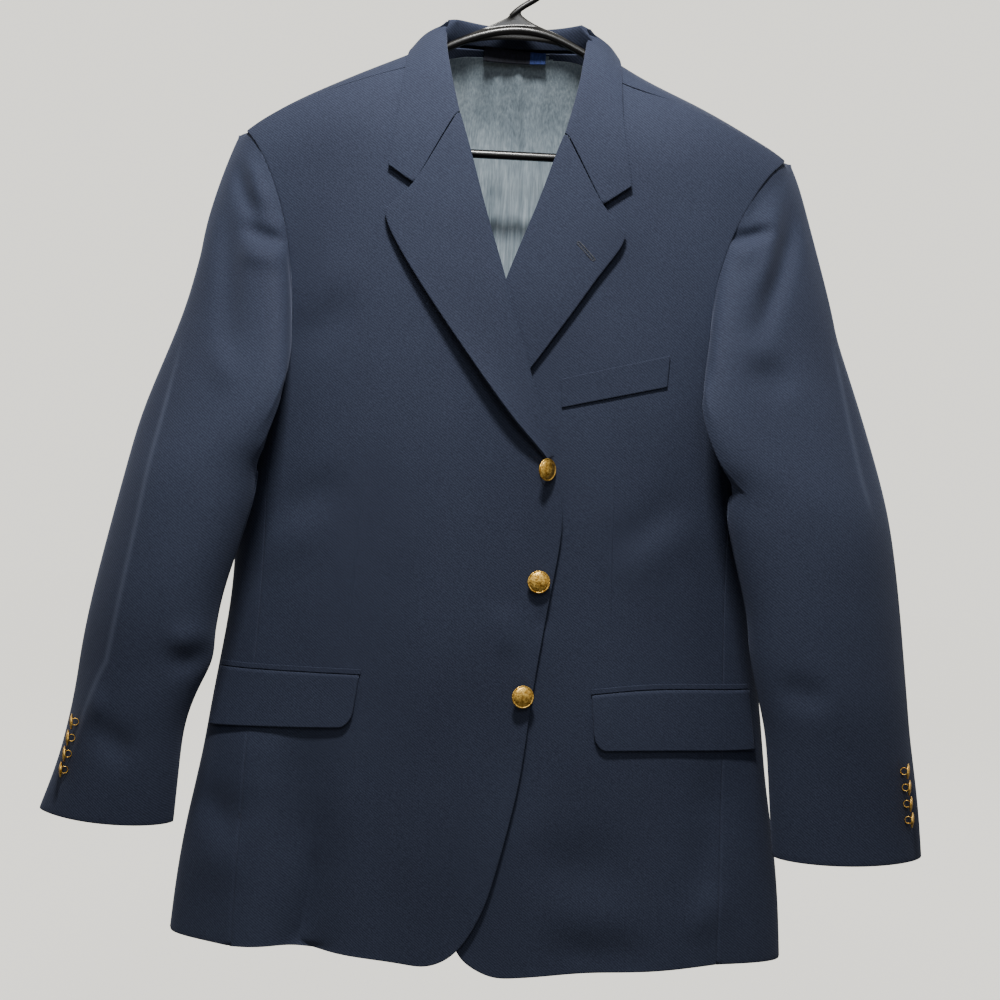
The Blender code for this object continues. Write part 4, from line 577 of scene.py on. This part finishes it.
def evened(points):
    """Moves each point at the bend from a narrow mean of its neighbours towards a wide one.
    Both faces of a wall move alike, so it keeps its thickness."""
    moved = points.copy()
    off = np.abs(points[:, 2] - BEND_HEIGHT)
    share = np.clip(1 - off / BEND_REACH, 0, 1)
    share = share * share * (3 - 2 * share) * ramp(-np.abs(points[:, 0]), -BEND_INNER, BEND_FADE)
    near = points[off < BEND_REACH + BEND_FADE]
    for i in np.nonzero(share > 0)[0]:
        apart = ((near - points[i]) ** 2).sum(1)
        wide, narrow = (np.exp(-apart / (2 * reach ** 2)) for reach in (WIDE_MEAN, NARROW_MEAN))
        moved[i] += share[i] * (wide @ near / wide.sum() - narrow @ near / narrow.sum())
    return moved


# Rings of this height give the middle of a sleeve that its lining is seen from.
RING_HEIGHT = 0.02
CUFF_TURNING = -0.775


for side, word in ((-1, "right"), (1, "left")):
    trees = [skin_of(body_cloth[part + word]) for part in ("front_", "back_")]
    for half in ("sleeve_top_", "sleeve_under_"):
        piece = smoothed(half + word, PANEL_LEVELS, (navy_serge, lining_satin))
        points = points_of(piece)
        ahead = front_share(points, np.interp(points[:, 2], heights, middles))
        points = creased(points, SLEEVE_FOLDS[side], ahead)
        lift_start, lift_way = LIFT_INWARDS
        inner = ramp(-np.abs(points[:, 0]), -lift_start, lift_way)
        points[:, 2] += HEAD_LIFT * inner * ramp(points[:, 2], *LIFT_UPWARDS) ** 2
        away, share = along(points[:, 0], points[:, 2], PRESSED[side])
        line = np.exp(-(away / PRESS_WIDTH) ** 2) * ahead
        line *= np.clip(np.minimum(share, 1 - share) / PRESS_FADE, 0, 1)
        points[:, 1] -= PRESS_HEIGHT * line
        head = points[:, 2] > ARMHOLE_FOOT
        points[head] = eased(points[head], trees, HEAD_REACH, TIP_REACH)
        put_points(piece, points)
        # Painted highlight along the crease: how much paler the material paints its colour there.
        pale = piece.data.attributes.new("press", "FLOAT", "POINT")
        pale.data.foreach_set("value", (line * PRESS_HIGHLIGHT_TONE).astype(np.float32))
        body_cloth[half + word] = piece
    halves = [body_cloth[half + word] for half in ("sleeve_top_", "sleeve_under_")]
    both = evened(np.concatenate([points_of(half) for half in halves]))
    first = len(halves[0].data.vertices)
    put_points(halves[0], both[:first])
    put_points(halves[1], both[first:])
    level = np.round(both[:, 2] / RING_HEIGHT).astype(int)
    centres = {k: both[level == k][:, :2].mean(0) for k in set(level.tolist())}

    def sleeve_centre(point):
        """The middle of the sleeve at a point's height."""
        x, y = centres[int(round(point.z / RING_HEIGHT))]
        return Vector((x, y, point.z))

    for half in ("sleeve_top_", "sleeve_under_"):
        piece = body_cloth[half + word]
        lined(piece, sleeve_centre, lambda p: p.z < CUFF_TURNING)
        cut_and_sewn(piece, half + word)

# The collar and lapels: canvassed double serge, rolled over and pressed, and
# joined at the gorge seam. The flaps, jets and breast welt are small faced pieces.
TRIM_CUTS = {
    "collar": (0.115, 0.534, 0.0278, "folded", ("back_right", "back_left")),
    "lapel_right": (0.116, 0.315, 0.0178, "folded", ("front_right",)),
    "lapel_left": (0.109, 0.299, 0.0163, "folded", ("front_left",)),
    "pocket_flap_right": (0.140, 0.053, 0.0068, "hung", ("front_right",)),
    "pocket_flap_left": (0.152, 0.055, 0.0080, "hung", ("front_left",)),
    "pocket_jet_right": (0.140, 0.010, 0.0006, "laid", ("front_right",)),
    "pocket_jet_left": (0.152, 0.010, 0.0007, "laid", ("front_left",)),
    "breast_welt": (0.099, 0.028, 0.0025, "laid", ("front_left",)),
}
# The rims of these pieces are rolled a little rounder than those of the panels.
TRIM_CREASE = 0.55
for name, cut in TRIM_CUTS.items():
    levels = SMALL_LEVELS if name.startswith("pocket") else PANEL_LEVELS
    body_cloth[name] = smoothed(name, levels, (navy_serge, lining_satin), TRIM_CREASE)
    cut_and_sewn(body_cloth[name], name)

# The back lining: satin, hung from the collar seam with a pleat down its middle.
# It hangs in soft upright folds, which stand off it towards the front.
LINING_FOLDS = (
    (((-0.0600, -0.100), (-0.0570, -0.190), (-0.0540, -0.320)), 0.0060, 0.0020, 0.30),
    (((-0.0440, -0.104), (-0.0410, -0.190), (-0.0360, -0.330)), 0.0050, 0.0030, 0.20),
    (((-0.0205, -0.100), (-0.0185, -0.190), (-0.0100, -0.340)), 0.0060, 0.0040, 0.18),
    (((-0.0015, -0.100), (0.0025, -0.190), (0.0085, -0.340)), 0.0035, 0.0026, 0.15),
    (((0.0161, -0.104), (0.0195, -0.180), (0.0230, -0.320)), 0.0060, 0.0038, 0.20),
    (((0.0370, -0.104), (0.0400, -0.190), (0.0400, -0.320)), 0.0060, 0.0026, 0.30),
    (((-0.1200, -0.250), (-0.1250, -0.450), (-0.1200, -0.700)), 0.0100, 0.0030, 0.30),
    (((0.1100, -0.250), (0.1150, -0.450), (0.1200, -0.700)), 0.0100, 0.0030, 0.30),
)
lining = smoothed("lining_back", PANEL_LEVELS, (lining_satin,))
points = points_of(lining)
put_points(lining, creased(points, LINING_FOLDS, np.ones(len(points))))
cut_and_sewn(lining, "lining_back")

# The label: a plain woven tape, sewn to the lining under the collar. Its longer part is
# black and its end on the wearer's left is blue.
LABEL_CHANGE = 0.0085
# Woven polyester tape: close and dull, so it takes hardly any light. Its threads are
# drawn 1.1 mm apart, or they would not show.
TAPE_THREAD = 0.0011111
label_tape = satin("dark woven label tape", "#101118", "#1A1B26", "#08090E", TAPE_THREAD, 0.75, 0.10)
label_end = satin("blue woven label end", "#24305A", "#31407A", "#1A2444", TAPE_THREAD, 0.75, 0.10)
label = smoothed("neck_label", SMALL_LEVELS, (label_tape, label_end))
for face in label.data.polygons:
    face.material_index = int(face.center.x > LABEL_CHANGE)
cut_and_sewn(label, "neck_label")

# The darts: each front is taken in at one line down the chest, and its fold is
# pressed to the back, so it stands a hair proud of the cloth on one side.
DARTS = {
    "right": ((-0.1159, -0.4714), (-0.1186, -0.5300), (-0.1251, -0.6141), (-0.1243, -0.6474)),
    "left": ((0.1013, -0.4780), (0.1030, -0.5600), (0.1055, -0.6249)),
}
# Across the line: distance and height in metres. Both ends lie under the cloth.
DART_SECTION = (
    (-0.0050, -0.00035), (-0.0018, 0.00010), (-0.0001, 0.00042), (0.0002, 0.00030), (0.0003, -0.00035),
)
DART_PITCH = 0.004
# A dart fades into the cloth at both ends, and its tips are sunk this deep.
DART_FADE = 0.3
DART_SINK = 0.0003
IN_FRONT = -0.5


def on_skin(skin, x, z, height):
    """The point of a piece that shows at x and z from the front, raised by a height."""
    place, normal, _, _ = skin.ray_cast(Vector((x, IN_FRONT, z)), Vector((0.0, 1.0, 0.0)))
    return place + normal * height


def steps_of(path, pitch):
    """Points at even steps along a path, and the direction at each."""
    path = np.array(path, float)
    lengths = np.concatenate([[0], np.cumsum(np.linalg.norm(np.diff(path, axis=0), axis=1))])
    count = max(2, int(round(lengths[-1] / pitch)) + 1)
    at = np.linspace(0, lengths[-1], count)
    places = np.stack([np.interp(at, lengths, path[:, k]) for k in (0, 1)], axis=-1)
    ways = np.gradient(places, axis=0)
    return places, ways / np.linalg.norm(ways, axis=1, keepdims=True)


for word, path in DARTS.items():
    skin = skin_of(body_cloth["front_" + word])
    places, ways = steps_of(path, DART_PITCH)
    last = len(places) - 1
    work = bmesh.new()
    loops = []
    for i, ((x, z), (dx, dz)) in enumerate(zip(places, ways)):
        full = math.sin(math.pi * i / last) ** DART_FADE if 0 < i < last else 0.0
        sunk = DART_SINK * (1 - full)
        loops.append([
            work.verts.new(on_skin(skin, x - dz * away, z + dx * away, height * full - sunk))
            for away, height in DART_SECTION
        ])
    for low, high in zip(loops, loops[1:]):
        for k in range(len(low)):
            work.faces.new((low[k - 1], low[k], high[k], high[k - 1]))
    work.faces.new(loops[0])
    work.faces.new(loops[-1])
    bmesh.ops.recalc_face_normals(work, faces=work.faces)
    dart_mesh = bpy.data.meshes.new("dart_" + word)
    work.to_mesh(dart_mesh)
    work.free()
    dart_mesh.materials.append(navy_serge)
    dart_mesh.polygons.foreach_set("use_smooth", [True] * len(dart_mesh.polygons))
    dart = bpy.data.objects.new("dart_" + word, dart_mesh)
    bpy.context.scene.collection.objects.link(dart)
    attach(dart, "root")

# The lapel buttonhole: close purl stitches of navy silk twist round a slit, on the
# wearer's left lapel. Each stitch is a small bead of thread laid across its edge.
BUTTONHOLE = ((0.0590, -0.2822), (0.0724, -0.2958))
HOLE_HALF = 0.0012
STITCH_PITCH = 0.00055
STITCH_LENGTH = 0.0016
STITCH_THICKNESS = 0.0006
STITCH_LIFT = 0.0001
STITCH_SEED = 7
# The stitches fan out round each end of the slit, at these angles from its line.
END_ANGLES = np.radians(np.arange(-75, 76, 25))
# Twisted silk thread: smooth and soft, its navy painted darker than the wool as painted shade for the slit,
# so the slit shows.
silk_twist_with_painted_shade, tree = finish_of("navy silk buttonhole twist")
twist = node(
    tree, "ShaderNodeBsdfPrincipled",
    {"Base Color": colour("#262C3C"), "Roughness": 0.5, "Sheen Weight": 0.3},
)
node(tree, "ShaderNodeOutputMaterial", links={"Surface": twist.outputs[0]})

stitching = bpy.data.node_groups.new("stitches along a line", "GeometryNodeTree")
for title, kind in (
    ("Line", "NodeSocketGeometry"), ("Length", "NodeSocketFloat"), ("Thickness", "NodeSocketFloat"),
    ("Seed", "NodeSocketInt"),
):
    stitching.interface.new_socket(name=title, in_out="INPUT", socket_type=kind)
stitching.interface.new_socket(name="Stitches", in_out="OUTPUT", socket_type="NodeSocketGeometry")
given = node(stitching, "NodeGroupInput")
lie = node(stitching, "GeometryNodeInputNamedAttribute", {"Name": "lie"}, data_type="FLOAT_VECTOR")
turned_to = node(
    stitching, "FunctionNodeAlignRotationToVector", links={"Vector": lie.outputs["Attribute"]}, axis="X",
)
uneven = node(
    stitching, "FunctionNodeRandomValue", {2: 0.85, 3: 1.12}, {"Seed": given.outputs["Seed"]},
    data_type="FLOAT",
)
long = node(
    stitching, "ShaderNodeMath", links={0: given.outputs["Length"], 1: uneven.outputs[1]},
    operation="MULTIPLY",
)
size = node(
    stitching, "ShaderNodeCombineXYZ",
    links={0: long.outputs[0], 1: given.outputs["Thickness"], 2: given.outputs["Thickness"]},
)
bead = node(stitching, "GeometryNodeMeshUVSphere", {"Segments": 8, "Rings": 6, "Radius": 0.5})
laid = node(
    stitching, "GeometryNodeInstanceOnPoints",
    links={"Points": given.outputs["Line"], "Instance": bead.outputs["Mesh"],
           "Rotation": turned_to.outputs["Rotation"], "Scale": size.outputs[0]},
)
real = node(stitching, "GeometryNodeRealizeInstances", links={"Geometry": laid.outputs[0]})
painted = node(
    stitching, "GeometryNodeSetMaterial", {"Material": silk_twist_with_painted_shade}, {"Geometry": real.outputs[0]},
)
node(stitching, "NodeGroupOutput", links={"Stitches": painted.outputs[0]})

skin = skin_of(body_cloth["lapel_left"])
(x0, z0), (x1, z1) = BUTTONHOLE
span = math.hypot(x1 - x0, z1 - z0)
dx, dz = (x1 - x0) / span, (z1 - z0) / span
places, lies = [], []
for hand in (-1, 1):
    for t in np.arange(0, span, STITCH_PITCH):
        places.append((x0 + dx * t - hand * dz * HOLE_HALF, z0 + dz * t + hand * dx * HOLE_HALF))
        lies.append((-dz, 0.0, dx))
for end, sign in (((x0, z0), -1), ((x1, z1), 1)):
    for a in END_ANGLES:
        way = (dx * math.cos(a) * sign - dz * math.sin(a), dz * math.cos(a) * sign + dx * math.sin(a))
        places.append((end[0] + way[0] * HOLE_HALF, end[1] + way[1] * HOLE_HALF))
        lies.append((way[0], 0.0, way[1]))
seats = [on_skin(skin, x, z, STITCH_LIFT) for x, z in places]
line_mesh = bpy.data.meshes.new("buttonhole line")
line_mesh.from_pydata(seats, [], [])
line_mesh.attributes.new("lie", "FLOAT_VECTOR", "POINT").data.foreach_set("vector", np.array(lies).ravel())
line = bpy.data.objects.new("buttonhole_line", line_mesh)
bpy.context.scene.collection.objects.link(line)
sewing = line.modifiers.new("stitches", "NODES")
sewing.node_group = stitching
keys = {item.name: item.identifier for item in stitching.interface.items_tree if item.in_out == "INPUT"}
sewing[keys["Length"]] = STITCH_LENGTH
sewing[keys["Thickness"]] = STITCH_THICKNESS
sewing[keys["Seed"]] = STITCH_SEED
graph = bpy.context.evaluated_depsgraph_get()
sewn = bpy.data.meshes.new_from_object(line.evaluated_get(graph))
bpy.data.objects.remove(line)
sewn.polygons.foreach_set("use_smooth", [True] * len(sewn.polygons))
buttonhole = bpy.data.objects.new("lapel_buttonhole", sewn)
bpy.context.scene.collection.objects.link(buttonhole)
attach(buttonhole, "root")

# The buttons: domed brass blazer buttons, stamped and polished, with a rolled rim,
# each on a wire shank that is sewn to the cloth.
# Stamped brass: gold where it is polished, and browner and duller in the fine hollows
# that wear leaves alone, which come about every 2.6 mm.
WEAR_SPACING = 0.0026316
polished_brass, tree = finish_of("polished stamped brass")
place = node(tree, "ShaderNodeTexCoord").outputs["Object"]
wear = node(
    tree, "ShaderNodeTexNoise", {"Scale": 1 / WEAR_SPACING, "Detail": 4.0, "Roughness": 0.7},
    {"Vector": place},
)
tone = node(tree, "ShaderNodeValToRGB", links={0: wear.outputs["Fac"]})
tone.color_ramp.elements[0].position = 0.35
tone.color_ramp.elements[0].color = colour("#9A6A20")
tone.color_ramp.elements[1].position = 0.65
tone.color_ramp.elements[1].color = colour("#FAD070")
dull = node(tree, "ShaderNodeMapRange", {3: 0.24, 4: 0.42}, {0: wear.outputs["Fac"]})
relief = node(tree, "ShaderNodeBump", {"Strength": 0.6, "Distance": 0.0008}, {"Height": wear.outputs["Fac"]})
metal = node(
    tree, "ShaderNodeBsdfPrincipled", {"Metallic": 1.0},
    {"Base Color": tone.outputs[0], "Roughness": dull.outputs[0], "Normal": relief.outputs[0]},
)
node(tree, "ShaderNodeOutputMaterial", links={"Surface": metal.outputs[0]})
# Profile of the face in shares of its radius, from the back plate up: height, radius.
BUTTON_FACE = (
    (-0.03, 0.0), (-0.03, 0.80), (0.0, 0.93), (0.05, 0.985), (0.11, 1.0), (0.17, 0.985), (0.205, 0.94),
    (0.20, 0.90), (0.165, 0.875), (0.165, 0.85), (0.21, 0.82), (0.26, 0.71), (0.31, 0.51), (0.345, 0.28),
    (0.36, 0.0),
)
BUTTON_SIDES = 96
# The top of the rolled rim is milled: half of every four sides is a notch, as deep as
# this share of the radius. The profile's points in this band and above this height are cut.
MILLED_DEPTH = 0.012
MILLED_SIDES = 4
MILLED_BAND = (0.89, 0.95)
MILLED_HEIGHT = 0.1
# The wire of the shank: half its thickness, the steps round its loop and round itself,
# and the loop's radius as a share of the room between the cloth and the plate.
WIRE = 0.00042
WIRE_BENDS = 24
WIRE_SIDES = 8
LOOP_SHARE = 0.55
# Shares of the solid's radius: the crown is within the first, the rim is past the
# second, and the edge of the back plate is past the third.
CROWN, RIM, PLATE_EDGE = 0.3, 0.8, 0.9
for name, solid in list(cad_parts.items()):
    if "button" not in name:
        continue
    spots = np.unique(np.round([tuple(v.co) for v in solid.data.vertices], 6), axis=0)
    middle = spots.mean(0)
    axis = np.linalg.svd(spots - middle)[2][2]
    height = (spots - middle) @ axis
    reach = np.linalg.norm(spots - middle - height[:, None] * axis, axis=1)
    radius = reach.max()
    if height[reach < CROWN * radius].mean() > height[reach > RIM * radius].mean():
        axis, height = -axis, -height
    plate = height[reach > PLATE_EDGE * radius].min()
    foot = height.min()
    axis, middle = Vector(axis), Vector(middle)
    across = axis.orthogonal().normalized()
    other = axis.cross(across)
    work = bmesh.new()
    loops = []
    for level, wide in BUTTON_FACE:
        if wide == 0:
            loops.append([work.verts.new(middle + axis * (plate + level * radius))])
            continue
        ring = []
        for k in range(BUTTON_SIDES):
            a = 2 * math.pi * k / BUTTON_SIDES
            notched = MILLED_BAND[0] < wide < MILLED_BAND[1] and level > MILLED_HEIGHT
            milled = MILLED_DEPTH * (k % MILLED_SIDES < MILLED_SIDES // 2) if notched else 0.0
            spoke = math.cos(a) * across + math.sin(a) * other
            rise = plate + (level - milled) * radius
            ring.append(work.verts.new(middle + axis * rise + spoke * wide * radius))
        loops.append(ring)
    for low, high in zip(loops, loops[1:]):
        for k in range(BUTTON_SIDES):
            corners = [low[k % len(low)], low[(k + 1) % len(low)]]
            corners += [high[(k + 1) % len(high)], high[k % len(high)]]
            work.faces.new(list(dict.fromkeys(corners)))
    # The wire loop stands on its edge between the cloth and the plate.
    loop_reach = LOOP_SHARE * (plate - foot) + WIRE
    loop_middle = middle + axis * (foot + plate) / 2
    upright = (Vector((0, 0, 1)) - axis * axis.z).normalized()
    flat = axis.cross(upright)
    bends = []
    for a in np.linspace(0, 2 * math.pi, WIRE_BENDS, endpoint=False):
        out = math.cos(a) * axis + math.sin(a) * upright
        centre = loop_middle + out * loop_reach
        bends.append([
            work.verts.new(centre + (math.cos(b) * out + math.sin(b) * flat) * WIRE)
            for b in np.linspace(0, 2 * math.pi, WIRE_SIDES, endpoint=False)
        ])
    for k in range(WIRE_BENDS):
        for m in range(WIRE_SIDES):
            work.faces.new((bends[k - 1][m - 1], bends[k - 1][m], bends[k][m], bends[k][m - 1]))
    bmesh.ops.recalc_face_normals(work, faces=work.faces)
    button_mesh = bpy.data.meshes.new(name + "_brass")
    work.to_mesh(button_mesh)
    work.free()
    button_mesh.materials.append(polished_brass)
    button_mesh.polygons.foreach_set("use_smooth", [True] * len(button_mesh.polygons))
    button = bpy.data.objects.new(name + "_brass", button_mesh)
    bpy.context.scene.collection.objects.link(button)
    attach(button, "root")
    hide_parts(name)

# The hanger: one moulding of glossy black plastic, with a swivel hook, two arms
# and a trouser bar.
# Moulded plastic: near black and glossy, with faint ripples about every 7 mm that
# break up its highlights.
RIPPLE_SPACING = 0.007143
black_plastic, tree = finish_of("glossy moulded black plastic")
place = node(tree, "ShaderNodeTexCoord").outputs["Object"]
ripple = node(tree, "ShaderNodeTexNoise", {"Scale": 1 / RIPPLE_SPACING, "Detail": 2.0}, {"Vector": place})
relief = node(
    tree, "ShaderNodeBump", {"Strength": 0.05, "Distance": 0.0002}, {"Height": ripple.outputs["Fac"]},
)
dull = node(tree, "ShaderNodeMapRange", {3: 0.16, 4: 0.30}, {0: ripple.outputs["Fac"]})
moulding = node(
    tree, "ShaderNodeBsdfPrincipled", {"Base Color": colour("#0E0E10"), "IOR": 1.5},
    {"Roughness": dull.outputs[0], "Normal": relief.outputs[0]},
)
node(tree, "ShaderNodeOutputMaterial", links={"Surface": moulding.outputs[0]})
NO_CREASE = 0.0
hanger = smoothed("hanger", SMALL_LEVELS, (black_plastic,), NO_CREASE)
hanger.name = "hanger_moulding"
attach(hanger, "root")
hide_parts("hanger")
